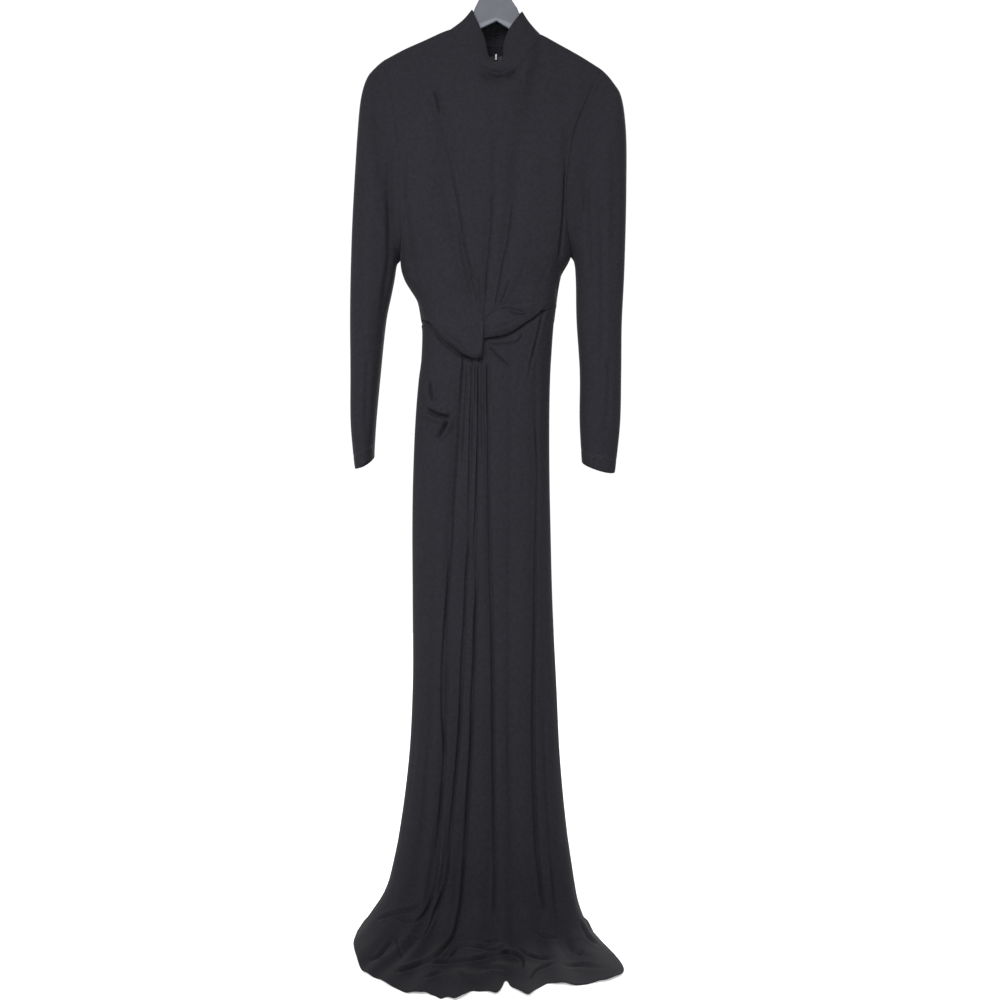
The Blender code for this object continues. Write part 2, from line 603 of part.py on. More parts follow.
def collar_lines():
    """Samples the collar beside the bodice's columns, each quarter from the middle to the side."""
    front = [column / NECK_SHARE for column in FRONT_COLUMNS if column <= NECK_SHARE]
    back = [column / NECK_SHARE for column in BACK_COLUMNS if column <= NECK_SHARE]
    return {
        "front_left": [CollarLine(*along(COLLAR_FRONT, (1 - at) / 2)) for at in front],
        "front_right": [CollarLine(*along(COLLAR_FRONT, (1 + at) / 2)) for at in front],
        "back_left": [CollarLine(*along(COLLAR_BACK_LEFT, at)) for at in back],
        "back_right": [CollarLine(*along(COLLAR_BACK_RIGHT, at)) for at in back],
    }


def upper_edge(neck, shoulder, tip, columns, forward):
    """Gives the points of a bodice panel's upper edge: along the neck, then over the shoulder."""
    points = [(line.base_x, line.base_y, line.base_drop + 2 * SEAM) for line in neck]
    points[-1] = (points[-1][0], forward * SHOULDER_SEAM, points[-1][2])
    seam = [points[-1]] + [(x, forward * SHOULDER_SEAM, drop) for x, drop in shoulder] + [tip]
    shares = [(column - NECK_SHARE) / (1 - NECK_SHARE) for column in columns if column > NECK_SHARE]
    return points + [along(seam, share) for share in shares]


def bodice_rows(line, armhole, side_seam, neck, shoulder, side, columns, middle_gap=0.0):
    """Gives the rows of a bodice panel, from the middle line out to the armhole and side seam."""
    forward = -1 if side == "front" else 1
    outward = 1 if armhole[0].x > 0 else -1
    edge = [(hole.x, forward * getattr(hole, side), hole.drop) for hole in armhole]
    edge += [(seam.x, forward * 2 * SEAM, seam.drop) for seam in side_seam]
    top = upper_edge(neck, shoulder, edge[0], columns, forward)
    first, first_edge = line[0], edge[0]
    rows = []
    for number, (start, end) in enumerate(zip(line, edge)):
        row = []
        for share, upper in zip(columns, top):
            gap = outward * (middle_gap + start.slit) * (1 - share)
            bend = round_off(share, BODICE_SQUARE)
            base = (
                blend(first.x, first_edge[0], share),
                blend(first_edge[1], first.y, bend),
                blend(first.drop, first_edge[2], share),
            )
            x = blend(start.x, end[0], share) + start.neck * (upper[0] - base[0])
            y = blend(end[1], start.y, bend) + start.neck * (upper[1] - base[1])
            drop = blend(start.drop, end[2], share) + start.neck * (upper[2] - base[2])
            if number == 1:
                over = ease((share - ROLL_START) / ROLL_SPAN)
                x = upper[0]
                y = upper[1] + forward * blend(NECK_ROLL[0], SHOULDER_ROLL[0], over)
                drop = upper[2] + blend(NECK_ROLL[1], SHOULDER_ROLL[1], over)
            if side == "front" and number > 1:
                y -= crease_out(x, drop) * ease((1 - share) / EDGE_FADE)
            row.append((x + gap, y, drop))
        rows.append(row)
    return rows


def ordered(rows, backwards):
    """Turns rows so that they run to the right on the front and to the left on the back."""
    return [[place(*point) for point in (reversed(row) if backwards else row)] for row in rows]


def lap_over_skirt(rows):
    """Lifts the lower end of the drape clear of the skirt that it lies on."""
    lifted = []
    for row in rows:
        points = []
        for x, y, drop in row:
            if drop > LAP_DROP:
                left = section_width(drop)[0]
                stand_out = front_depth(x, drop) + LAP * ease((x - left) / LAP_REACH)
                y = min(y, -stand_out)
            points.append((x, y, drop))
        lifted.append(points)
    return lifted


def sleeve_rows(armhole, rings):
    """Gives the rings of a sleeve, from the armhole to the cuff."""
    count = len(armhole) - 1
    outward = 1 if armhole[0].x > 0 else -1
    first = [(hole.x + outward * 3 * SEAM, -hole.front, hole.drop) for hole in armhole]
    first[0] = (first[0][0], 0.0, first[0][2])
    first[-1] = (first[-1][0], 0.0, first[-1][2])
    first += [(hole.x + outward * 3 * SEAM, hole.back, hole.drop) for hole in reversed(armhole[1:-1])]
    rows = [first]
    for number, ring in enumerate(rings):
        row = []
        for step in range(2 * count):
            angle = math.pi * step / count
            down = (1 - math.cos(angle)) / 2
            depth = math.copysign(abs(math.sin(angle)) ** SLEEVE_SQUARE, math.sin(angle))
            y = -depth * (ring.front if depth > 0 else ring.back)
            x = blend(ring.outer_x, ring.inner_x, down)
            drop = blend(ring.outer_drop, ring.inner_drop, down)
            if number == len(rings) - 1:
                drop += CUFF_SAG * abs(depth)
            if number < len(ARMHOLE_PULL):
                pull = ARMHOLE_PULL[number]
                share = (first[step][2] - first[0][2]) / (first[count][2] - first[0][2])
                x = blend(x, blend(ring.outer_x, ring.inner_x, share), pull)
                y = blend(y, first[step][1], pull)
                drop = blend(drop, blend(ring.outer_drop, ring.inner_drop, share), pull)
            row.append((x, y, drop))
        rows.append(row)
    if outward > 0:
        rows = [[row[0]] + row[:0:-1] for row in rows]
    return [[place(*point) for point in row] for row in rows]


def build_skirt(collection):
    """Makes the skirt's front and its two backs, down to the pooled hem."""
    ends = (0.0, 0.12, 0.4, 0.7)
    last = len(FRONT_FOLDS) - 1
    positions = list(ends)
    for index in range(1, last - 1):
        width = FRONT_FOLDS[index + 1].shares[KNEE_LEVEL] - FRONT_FOLDS[index].shares[KNEE_LEVEL]
        positions += [index, index + 0.5] if width > WIDE_SHARE else [index]
    positions += [last - share for share in (1.0, 0.7, 0.4, 0.12, 0.0)]

    def top_drop(share):
        return read(SKIRT_TOP, "drop", share, "share")

    sheet(collection, "skirt_front", skirt_rows(FRONT_FOLDS, positions, "front", top_drop))
    for name, folds in (("skirt_back_right", BACK_RIGHT_FOLDS), ("skirt_back_left", BACK_LEFT_FOLDS)):
        last = len(folds) - 1
        positions = [step / 2 for step in range(2 * last + 1)]
        if folds is BACK_RIGHT_FOLDS:
            positions = [0.0, 0.06, 0.2] + positions[1:]
        else:
            positions = positions[:-1] + [last - 0.2, last - 0.06, float(last)]
        rows = skirt_rows(folds, positions, "back", lambda share: WAIST_DROP + SEAM)
        edge = len(positions) - 1 if folds is BACK_RIGHT_FOLDS else 0
        outward = 1 if folds is BACK_RIGHT_FOLDS else -1
        for row in rows:
            drop = -row[edge].z / MM
            gap = blend(ZIP_HALF_GAP, BACK_SEAM, ease((drop - ZIP_END) / 40))
            row[edge].x += outward * gap * MM
        sheet(collection, name, rows)


def build_bodice(collection):
    """Makes the front, cut in one and slit up from the twist, and the two backs."""
    neck = collar_lines()
    drape = bodice_rows(
        FRONT_LINE + LEFT_LINE_END, LEFT_ARMHOLE, LEFT_SIDE_FRONT, neck["front_left"],
        LEFT_SHOULDER, "front", FRONT_COLUMNS,
    )
    crossing = bodice_rows(
        FRONT_LINE + RIGHT_LINE_END, RIGHT_ARMHOLE, RIGHT_SIDE_FRONT, neck["front_right"],
        RIGHT_SHOULDER, "front", FRONT_COLUMNS,
    )
    halves = (ordered(lap_over_skirt(drape), True), ordered(crossing, False))
    sheet(collection, "bodice_front", *halves)
    rows = bodice_rows(
        BACK_LINE, LEFT_ARMHOLE, LEFT_SIDE_BACK, neck["back_left"],
        LEFT_SHOULDER, "back", BACK_COLUMNS, ZIP_HALF_GAP,
    )
    sheet(collection, "back_left", ordered(rows, False))
    rows = bodice_rows(
        BACK_LINE, RIGHT_ARMHOLE, RIGHT_SIDE_BACK, neck["back_right"],
        RIGHT_SHOULDER, "back", BACK_COLUMNS, ZIP_HALF_GAP,
    )
    sheet(collection, "back_right", ordered(rows, True))


def build_loop(collection):
    """Makes the loop of cloth that comes out of the twist and runs to the right side."""
    rows = []
    for share in LOOP_ROWS:
        row = []
        for column in LOOP:
            drop = blend(column.upper, column.lower, share)
            depth = max(front_depth(column.x, drop), front_depth(column.x, LOOP_REST))
            puff = column.puff * math.sqrt(math.sin(math.pi * share)) if 0 < share < 1 else 0.0
            row.append(place(column.x, -(depth + LAP + CLOTH + puff), drop))
        rows.append(row)
    sheet(collection, "twist_loop", rows)


def build_sleeves(collection):
    """Makes both sleeves, open at the armhole and the cuff."""
    sheet(collection, "sleeve_left", sleeve_rows(LEFT_ARMHOLE, LEFT_RINGS), around=True)
    sheet(collection, "sleeve_right", sleeve_rows(RIGHT_ARMHOLE, RIGHT_RINGS), around=True)


def build_collar(collection):
    """Makes the funnel collar, one band that is open at the middle of the back."""
    quarters = collar_lines()
    lines = quarters["back_left"] + quarters["front_left"][-2::-1]
    lines += quarters["front_right"][1:] + quarters["back_right"][-2::-1]
    rows = []
    for share in reversed(COLLAR_ROWS):
        row = []
        for line in lines:
            bow = line.bow * math.sin(math.pi * share)
            reach = math.hypot(line.base_x, line.base_y)
            row.append(place(
                blend(line.base_x, line.top_x, share) + bow * line.base_x / reach,
                blend(line.base_y, line.top_y, share) + bow * line.base_y / reach,
                blend(line.base_drop, line.top_drop, share),
            ))
        rows.append(row)
    sheet(collection, "collar", rows)


def flat_outline(name, outlines, thickness, bevel):
    """Makes a flat piece from closed outlines in the XZ plane, as a filled 2D curve."""
    curve = bpy.data.curves.new(name, "CURVE")
    curve.dimensions = "2D"
    curve.fill_mode = "BOTH"
    curve.extrude = (thickness / 2 - bevel) * MM
    curve.bevel_depth = bevel * MM
    curve.bevel_resolution = 1
    curve.offset = -bevel * MM
    for outline in outlines:
        spline = curve.splines.new("POLY")
        spline.points.add(len(outline) - 1)
        for point, (x, drop) in zip(spline.points, outline):
            point.co = (x * MM, -drop * MM, 0.0, 1.0)
        spline.use_cyclic_u = True
    piece = bpy.data.objects.new(name, curve)
    piece.rotation_euler = (math.radians(90), 0.0, 0.0)
    return piece


def wire(name, points, radius, resolution=3):
    """Makes a bent wire with filled ends."""
    curve = bpy.data.curves.new(name, "CURVE")
    curve.dimensions = "3D"
    curve.bevel_depth = radius * MM
    curve.bevel_resolution = resolution
    curve.use_fill_caps = True
    spline = curve.splines.new("POLY")
    spline.points.add(len(points) - 1)
    for point, (x, y, drop) in zip(spline.points, points):
        point.co = (*place(x, y, drop), 1.0)
    return bpy.data.objects.new(name, curve)


def build_hanger(collection):
    """Makes the hanger and its wire hook."""
    hanger = flat_outline("hanger", [HANGER_OUTLINE], HANGER_THICK, HANGER_ROUNDING)
    keep(collection, hanger, HANGER_GREY, 0.55)
    points = [(x, 0.0, drop) for x, drop in HOOK_SHANK]
    for step in range(HOOK_STEPS):
        angle = math.radians(HOOK_START + HOOK_STEP * step)
        drop = HOOK_BEND - HOOK_WIRE / 2 - HOOK_BEND * math.sin(angle)
        points.append((HOOK_BEND * math.cos(angle), 0.0, drop))
    keep(collection, wire("hanger_hook", points, HOOK_WIRE / 2), STEEL, 0.25, 1.0)


def zip_line(drop):
    """Gives the place of the zip's middle on the back's outer surface."""
    if drop < WAIST_DROP:
        return read(BACK_LINE, "x", drop), read(BACK_LINE, "y", drop)
    left, right = section_width(drop)
    return (left + right) / 2, section_depth(0.5, drop, "back")


def zip_strip(collection, name, half_width, outer, wall, start, end, colour):
    """Makes a strip that follows the zip's line, its outer face set out from the back's surface."""
    rows = []
    count = round((end - start) / ZIP_STEP)
    for step in range(count + 1):
        drop = blend(start, end, step / count)
        x, y = zip_line(drop)
        rows.append([place(x + half_width * share, y + outer, drop) for share in (1, 0, -1)])
    sheet(collection, name, rows, wall=wall, colour=colour)


def block(name, size, centre, bevel=0.0):
    """Makes a box, with rounded edges if a bevel is given."""
    bpy.ops.mesh.primitive_cube_add(size=MM, location=centre)
    piece = bpy.context.object
    piece.name = name
    piece.data.transform(Matrix.Diagonal((*size, 1.0)))
    if bevel:
        rounding = piece.modifiers.new("Rounding", "BEVEL")
        rounding.width = bevel * MM
        rounding.segments = 2
    return piece


def build_zip(collection, helpers):
    """Makes the back zip: tape, chain, slider and the pull tab that hinges on the slider."""
    tape_out = -(CLOTH + SEAM)
    start = ZIP_TOP + SLIDER_NECK[1] + SEAM
    zip_strip(
        collection, "zip_tape", TAPE_HALF_WIDTH, tape_out, TAPE_WALL, start, ZIP_END + 12, ZIP_TAPE
    )
    chain_out = tape_out + 0.8 * SEAM + CHAIN_WALL
    zip_strip(
        collection, "zip_chain", CHAIN_HALF_WIDTH, chain_out, CHAIN_WALL, start, ZIP_END, ZIP_COIL
    )
    width, depth, height = SLIDER_SIZE
    face = SLIDER_Y + depth
    hinge_y = face + TAB_OUT
    middle = place(0.0, SLIDER_Y + depth / 2, ZIP_TOP + height / 2)
    slider = block("zip_slider", SLIDER_SIZE, middle, 0.5)
    keep(collection, slider, ZIP_METAL, 0.3, 1.0)
    low, high = TAB_DROP - BAIL_OPENING / 2, TAB_DROP + BAIL_OPENING / 2
    sunk, rise = face - 0.5, face + BAIL_RISE
    bail = upright_outline(
        "bail",
        (
            (sunk, low - BAIL_BAR), (rise + 1.0, low - BAIL_BAR), (rise + 1.0, high + BAIL_BAR),
            (sunk, high + BAIL_BAR), (sunk, high), (rise, high), (rise, low), (sunk, low),
        ),
        BAIL_WIDTH,
    )
    neck_width, neck_height = SLIDER_NECK
    neck_depth = SLIDER_Y - SLIDER_INNER_Y + 1.0
    neck_middle = place(0.0, (SLIDER_Y + SLIDER_INNER_Y) / 2, ZIP_TOP + 0.2 + neck_height / 2)
    neck = block("slider_neck", (neck_width, neck_depth, neck_height), neck_middle)
    inner_middle = place(0.0, SLIDER_INNER_Y - SLIDER_INNER[1] / 2, ZIP_TOP + SLIDER_INNER[2] / 2)
    inner = block("slider_inner", SLIDER_INNER, inner_middle)
    for piece in (bail, neck, inner):
        for owner in list(piece.users_collection):
            owner.objects.unlink(piece)
        helpers.objects.link(piece)
        piece.hide_render = True
        piece.display_type = "WIRE"
        join = slider.modifiers.new(piece.name, "BOOLEAN")
        join.operation = "UNION"
        join.object = piece
    outline = [(-x, below) for x, below in TAB_OUTLINE] + list(reversed(TAB_OUTLINE))
    tab = flat_outline("zip_pull_tab", [outline, TAB_EYE], TAB_THICK, TAB_ROUNDING)
    tab.location = place(0.0, hinge_y, TAB_DROP)
    keep(collection, tab, ZIP_METAL, 0.3, 1.0)


def upright_outline(name, outline, width):
    """Makes a solid of one width along X from a closed outline of (y, drop) points."""
    solid = bmesh.new()
    faces = []
    for x in (-width / 2, width / 2):
        faces.append([solid.verts.new(place(x, y, drop)) for y, drop in outline])
    solid.faces.new(reversed(faces[0]))
    solid.faces.new(faces[1])
    for index in range(len(outline)):
        after = (index + 1) % len(outline)
        solid.faces.new((faces[0][index], faces[0][after], faces[1][after], faces[1][index]))
    bmesh.ops.recalc_face_normals(solid, faces=solid.faces)
    mesh = bpy.data.meshes.new(name)
    solid.to_mesh(mesh)
    solid.free()
    return bpy.data.objects.new(name, mesh)


def build_collar_fastener(collection):
    """Makes the hook and the eye inside the top of the collar's back."""
    y, drop, half = EYE_Y, EYE_DROP, EYE_HALF_WIDTH
    loop = [
        (7.0, y, drop - half), (1.0, y, drop - half), (-1.0, y, drop - 0.6 * half), (-1.8, y, drop),
        (-1.0, y, drop + 0.6 * half), (1.0, y, drop + half), (7.0, y, drop + half),
    ]
    keep(collection, wire("collar_eye", loop, FASTENER_WIRE, 1), STEEL, 0.3, 1.0)
    bent = [
        (-8.0, y, drop), (-4.6, y - 0.2, drop), (-3.2, y - 1.2, drop), (-1.4, y - 1.6, drop),
        (0.2, y - 1.2, drop), (0.9, y - 0.2, drop), (0.8, y + 0.4, drop),
    ]
    keep(collection, wire("collar_hook", bent, FASTENER_WIRE, 1), STEEL, 0.3, 1.0)


def main():
    """Clears the scene and builds the dress."""
    for piece in list(bpy.data.objects):
        bpy.data.objects.remove(piece, do_unlink=True)
    collection = bpy.data.collections.new("maxi_dress_on_hanger")
    bpy.context.scene.collection.children.link(collection)
    helpers = bpy.data.collections.new("helpers")
    bpy.context.scene.collection.children.link(helpers)
    build_hanger(collection)
    build_collar(collection)
    build_bodice(collection)
    build_loop(collection)
    build_sleeves(collection)
    build_skirt(collection)
    build_zip(collection, helpers)
    build_collar_fastener(collection)


if __name__ == "__main__":
    main()
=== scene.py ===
"""Looks of a floor-length maxi dress of draped jersey on a hanger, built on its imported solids.

Lengths in the tables are in millimetres. A drop is a distance below the origin, which is inside the
top of the hanger's hook. +X runs to the right as the front is seen and +Y to the back.
"""
import sys

import logging
import math
from dataclasses import dataclass, field
from enum import Enum
from typing import NamedTuple, Sequence

import bmesh
import bpy
import numpy as np
from bpy.types import Material, NodeSocket, NodeTree, Object
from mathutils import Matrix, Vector


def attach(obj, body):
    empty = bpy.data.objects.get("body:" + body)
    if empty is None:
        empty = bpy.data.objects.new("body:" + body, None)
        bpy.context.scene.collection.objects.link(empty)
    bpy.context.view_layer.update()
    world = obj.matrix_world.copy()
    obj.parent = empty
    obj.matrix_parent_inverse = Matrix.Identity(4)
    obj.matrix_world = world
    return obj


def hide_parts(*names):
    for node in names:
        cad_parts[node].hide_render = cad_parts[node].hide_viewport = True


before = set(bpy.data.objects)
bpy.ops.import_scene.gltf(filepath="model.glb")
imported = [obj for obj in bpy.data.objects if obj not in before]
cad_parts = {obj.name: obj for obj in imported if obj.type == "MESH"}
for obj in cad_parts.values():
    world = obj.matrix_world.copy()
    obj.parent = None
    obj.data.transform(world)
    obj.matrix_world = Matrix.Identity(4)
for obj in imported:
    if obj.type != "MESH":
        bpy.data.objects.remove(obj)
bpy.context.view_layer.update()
LOG = logging.getLogger("maxi_dress")
Array = np.ndarray
Places = float | Array

MM = 0.001
BODY = "dress"
LAYOUT = "Cloth"

# Sizes that several pieces share
SEAM = 0.12
FLOOR = 1581.5
BREAK_DROP = 1500.0
HIP_DROP = 800.0
WAIST_DROP = 603.9
ZIP_START = 175.1
ZIP_END = 752.0
ZIP_HALF_GAP = 2.5
LOW_VIEW = math.radians(18)

# How finely a crease's line is read; its reach, and its lips' place and width, are in shares of its width
CREASE_REACH = 5
CREASE_STEPS = 6
LIP_PLACE = 2.0
LIP_WIDTH = 1.3
# How far back a crease that is seen from the front goes
FRONT_LIMIT = 2


class Way(Enum):
    """Which way a crease's line is seen."""

    FRONT = "front"
    BACK = "back"
    LOW = "front, from a little above"


# ---- Curves and grids ----


def smooth(keys: Sequence[float], values: Array, at: Places) -> Array:
    """Reads a smooth curve through points: a cubic whose slopes are averaged at each point.

    Args:
        keys: Where the points are, rising.
        values: The value, or a row of values, at each key.
        at: Where to read the curve.

    Returns:
        The value, or the row of values, at each place.
    """
    keys = np.asarray(keys, float)
    values = np.asarray(values, float)
    at = np.clip(np.asarray(at, float), keys[0], keys[-1])
    index = np.clip(np.searchsorted(keys, at, side="right") - 1, 0, len(keys) - 2)
    extra = (1,) * (values.ndim - 1)
    span = np.diff(keys)
    slopes = np.diff(values, axis=0) / span.reshape(-1, *extra)
    tangents = np.concatenate([slopes[:1], (slopes[:-1] + slopes[1:]) / 2, slopes[-1:]])
    part = ((at - keys[index]) / span[index]).reshape(*at.shape, *extra)
    reach = span[index].reshape(*at.shape, *extra)
    rest = 1 - part
    return (
        values[index] * (1 + 2 * part) * rest**2
        + values[index + 1] * part**2 * (3 - 2 * part)
        + reach * (tangents[index] * part * rest**2 - tangents[index + 1] * part**2 * rest)
    )


def along(points: Sequence[Sequence[float]], at: Places) -> Array:
    """Reads a smooth curve through evenly spaced points at shares of its length."""
    return smooth(np.linspace(0, 1, len(points)), np.array(points, float), at)


def column(table: Sequence[NamedTuple], name: str) -> Array:
    """Gives one named column of a table."""
    return np.array([getattr(row, name) for row in table], float)


def rows_of(kind: type, rows: Sequence[tuple]) -> tuple:
    """Gives the columns of a table their names."""
    return tuple(kind(*row) for row in rows)


def read(table: Sequence[NamedTuple], key: str, name: str, at: Array) -> Array:
    """Reads a column of a table as a smooth curve over another of its columns."""
    return smooth(column(table, key), column(table, name), at)


def pick(table: Array, at: Array) -> Array:
    """Takes one value of each row of a table."""
    return np.take_along_axis(table, at[..., None], axis=-1)[..., 0]


def mix(a: Array, b: Array, share: Array) -> Array:
    """Mixes two values."""
    return a + (b - a) * share


def ease(share: Places) -> Array:
    """Eases 0 to 1 with level ends."""
    share = np.clip(share, 0.0, 1.0)
    return share * share * (3 - 2 * share)


def onset(value: Array, start: float, span: float) -> Array:
    """Eases from 0 at a start to 1 a span further on, which is backwards where the span is negative."""
    return ease((value - start) / span)


def bell(distance: Array, width: float) -> Array:
    """Falls from 1 at no distance to nothing at two or three widths."""
    return np.exp(-((distance / width) ** 2))


def round_off(share: Array, square: float) -> Array:
    """Falls from 1 at share 0 to 0 at share 1 along a superellipse."""
    return np.maximum(0.0, 1 - np.minimum(np.abs(share), 1.0) ** square) ** (1 / square)


def evened(values: Array) -> Array:
    """Evens out a run of values with their neighbours, which leaves out its two ends."""
    return (values[:-2] + 2 * values[1:-1] + values[2:]) / 4


def travelled(points: Array, axis: int) -> Array:
    """Gives how far each point of a grid is along its row or column."""
    steps = np.linalg.norm(np.diff(points, axis=axis), axis=2)
    start = np.zeros_like(np.take(steps, [0], axis=axis))
    return np.concatenate([start, np.cumsum(steps, axis=axis)], axis=axis)


def refine(points: Array, rows: int, columns: int) -> Array:
    """Draws a finer grid smoothly through a coarse one whose rows are closed rings.

    Args:
        points: The coarse grid, rows by columns by 3.
        rows: How many rows the finer grid has.
        columns: How many columns it has.

    Returns:
        The finer grid. A ring's first point isn't repeated at its end.
    """
    points = np.concatenate([points[:, -3:], points, points[:, :4]], axis=1)
    down = travelled(points, 0).mean(axis=1)
    points = smooth(down, points, np.linspace(0, down[-1], rows))
    across = travelled(points, 1).mean(axis=0)
    places = np.linspace(across[3], across[-4], columns + 1)[:-1]
    return smooth(across, points.transpose(1, 0, 2), places).transpose(1, 0, 2)


def normals_of(points: Array, around: bool = False) -> Array:
    """Gives the outward direction at each point of a grid whose rows run down and to the right."""
    down = np.gradient(points, axis=0)
    if around:
        right = (np.roll(points, -1, axis=1) - np.roll(points, 1, axis=1)) / 2
    else:
        right = np.gradient(points, axis=1)
    out = np.cross(down, right)
    length = np.linalg.norm(out, axis=2, keepdims=True)
    return out / np.maximum(length, 1e-9)


def moved(points: Array, out: Array, amount: Array) -> Array:
    """Moves each point of a grid out by an amount."""
    return points + out * amount[..., None]


@dataclass(frozen=True)
class Crease:
    """A soft trough or ridge of cloth.

    Attributes:
        line: Points down the crease, as (x, drop), or (x, drop along the slanted view) for LOW.
        width: Half its width.
        depth: How far it goes in, or out where it is negative.
        lip: How far the cloth beside it stands out, on its left and on its right.
        start: Over what length it begins.
        end: Over what length it dies away.
        way: From where its line is seen.
        grow: How much wider it is at its end, as a share of its width.
    """

    line: tuple
    width: float
    depth: float
    lip: tuple = (0.25, 0.25)
    start: float = 30.0
    end: float = 40.0
    way: Way = Way.FRONT
    grow: float = 0.0

    def out(self, points: Array) -> Array:
        """Gives how far the crease moves each point out.

        Args:
            points: Points in millimetres, any shape by 3, as (x, y, z).

        Returns:
            The distance out at each point.
        """
        flat = points.reshape(-1, 3)
        tilt = LOW_VIEW if self.way is Way.LOW else 0.0
        down = -flat[:, 2] * math.cos(tilt) - flat[:, 1] * math.sin(tilt)
        seen = np.stack([flat[:, 0], down], axis=1)
        reach = CREASE_REACH * self.width * (1 + self.grow)
        line = along(self.line, np.linspace(0, 1, CREASE_STEPS * len(self.line)))
        low, high = line.min(axis=0) - reach, line.max(axis=0) + reach
        near = np.all((seen > low) & (seen < high), axis=1)
        near &= flat[:, 1] > 0 if self.way is Way.BACK else flat[:, 1] < FRONT_LIMIT
        total = np.zeros(len(flat))
        if near.any():
            total[near] = self._profile(seen[near], line)
        return total.reshape(points.shape[:-1])

    def _profile(self, seen: Array, line: Array) -> Array:
        """Gives the crease's height at points that are near its line."""
        first, step = line[:-1], np.diff(line, axis=0)
        length = np.linalg.norm(step, axis=1)
        offset = seen[:, None, :] - first[None]
        share = np.clip((offset * step).sum(2) / length**2, 0, 1)
        apart = offset - share[..., None] * step
        distance = np.linalg.norm(apart, axis=2)
        best = distance.argmin(axis=1)
        each = np.arange(len(seen))
        travel = np.concatenate([[0], np.cumsum(length)])[best] + share[each, best] * length[best]
        turn = step[best, 0] * offset[each, best, 1] - step[best, 1] * offset[each, best, 0]
        side = distance[each, best] * np.where(turn > 0, -1, 1)
        side = side / (self.width * (1 + self.grow * travel / length.sum()))
        left, right = (bell(side + place, LIP_WIDTH) for place in (LIP_PLACE, -LIP_PLACE))
        shape = self.depth * (self.lip[0] * left + self.lip[1] * right - bell(side, 1.0))
        fade = ease(travel / self.start) * ease((length.sum() - travel) / self.end)
        return shape * fade


def creased(points: Array, out: Array, creases: Sequence[Crease], hold: Array) -> Array:
    """Presses creases into a grid.

    Args:
        points: The grid in millimetres.
        out: The outward direction at each point.
        creases: The creases.
        hold: How free each point is to move, from 0 at a seam to 1.

    Returns:
        The creased grid.
    """
    total = sum((crease.out(points) for crease in creases), np.zeros(points.shape[:2]))
    return moved(points, out, total * hold)


def unevenness(points: Array, size: float, seed: float) -> Array:
    """Gives a gentle wander of hung cloth, longer down than across.

    Args:
        points: The grid in millimetres.
        size: The most that the cloth moves.
        seed: What makes one piece differ from another.

    Returns:
        The distance out at each point.
    """
    x, z = points[..., 0], points[..., 2] + 1.2 * points[..., 1]
    waves = (
        np.sin(x / 11.0 + 2.1 * np.sin(z / 143.0 + seed) + seed)
        + 0.7 * np.sin(x / 6.3 - z / 210.0 + 1.7 * np.sin(z / 97.0 + 2 * seed) + 2.3 * seed)
        + 0.5 * np.sin(x / 19.0 + z / 74.0 + 3.1 * seed)
        + 0.35 * np.sin(x / 4.1 + 2.4 * np.sin(z / 61.0 + seed) + 1.3 * seed)
    )
    return size * waves / 2.55


# ---- The dress's outline and folds, as its solids have them ----


class Section(NamedTuple):
    """A level section of the dress: where its sides are and how deep it is."""

    drop: float
    left: float
    right: float
    front: float
    back: float


class Fold(NamedTuple):
    """A line down the skirt, on a ridge or in a trough, and its place in the pooled hem."""

    shares: tuple
    outs: tuple
    hem_x: float
    hem_y: float
    lift: float
    flare: float


class PoolRow(NamedTuple):
    """A row of the pooled hem: how far out and how high it is, and how its folds rise."""

    out: float
    flare_out: float
    height: float
    lift: float
    roll: float


class TopEdge(NamedTuple):
    """A point of a skirt panel's upper edge."""

    share: float
    drop: float


class CollarLine(NamedTuple):
    """A line up the funnel collar, from the neck seam to its upper edge."""

    base_x: float
    base_y: float
    base_drop: float
    top_x: float
    top_y: float
    top_drop: float
    bow: float


class Armhole(NamedTuple):
    """A point of an armhole, from the shoulder to the underarm, with both depths."""

    x: float
    drop: float
    front: float
    back: float


class Line(NamedTuple):
    """A point of the line down the middle of the bodice front or back."""

    x: float
    y: float
    drop: float
    neck: float


class Ring(NamedTuple):
    """A section of a sleeve, from its outer to its inner side."""

    outer_x: float
    outer_drop: float
    inner_x: float
    inner_drop: float
    front: float
    back: float


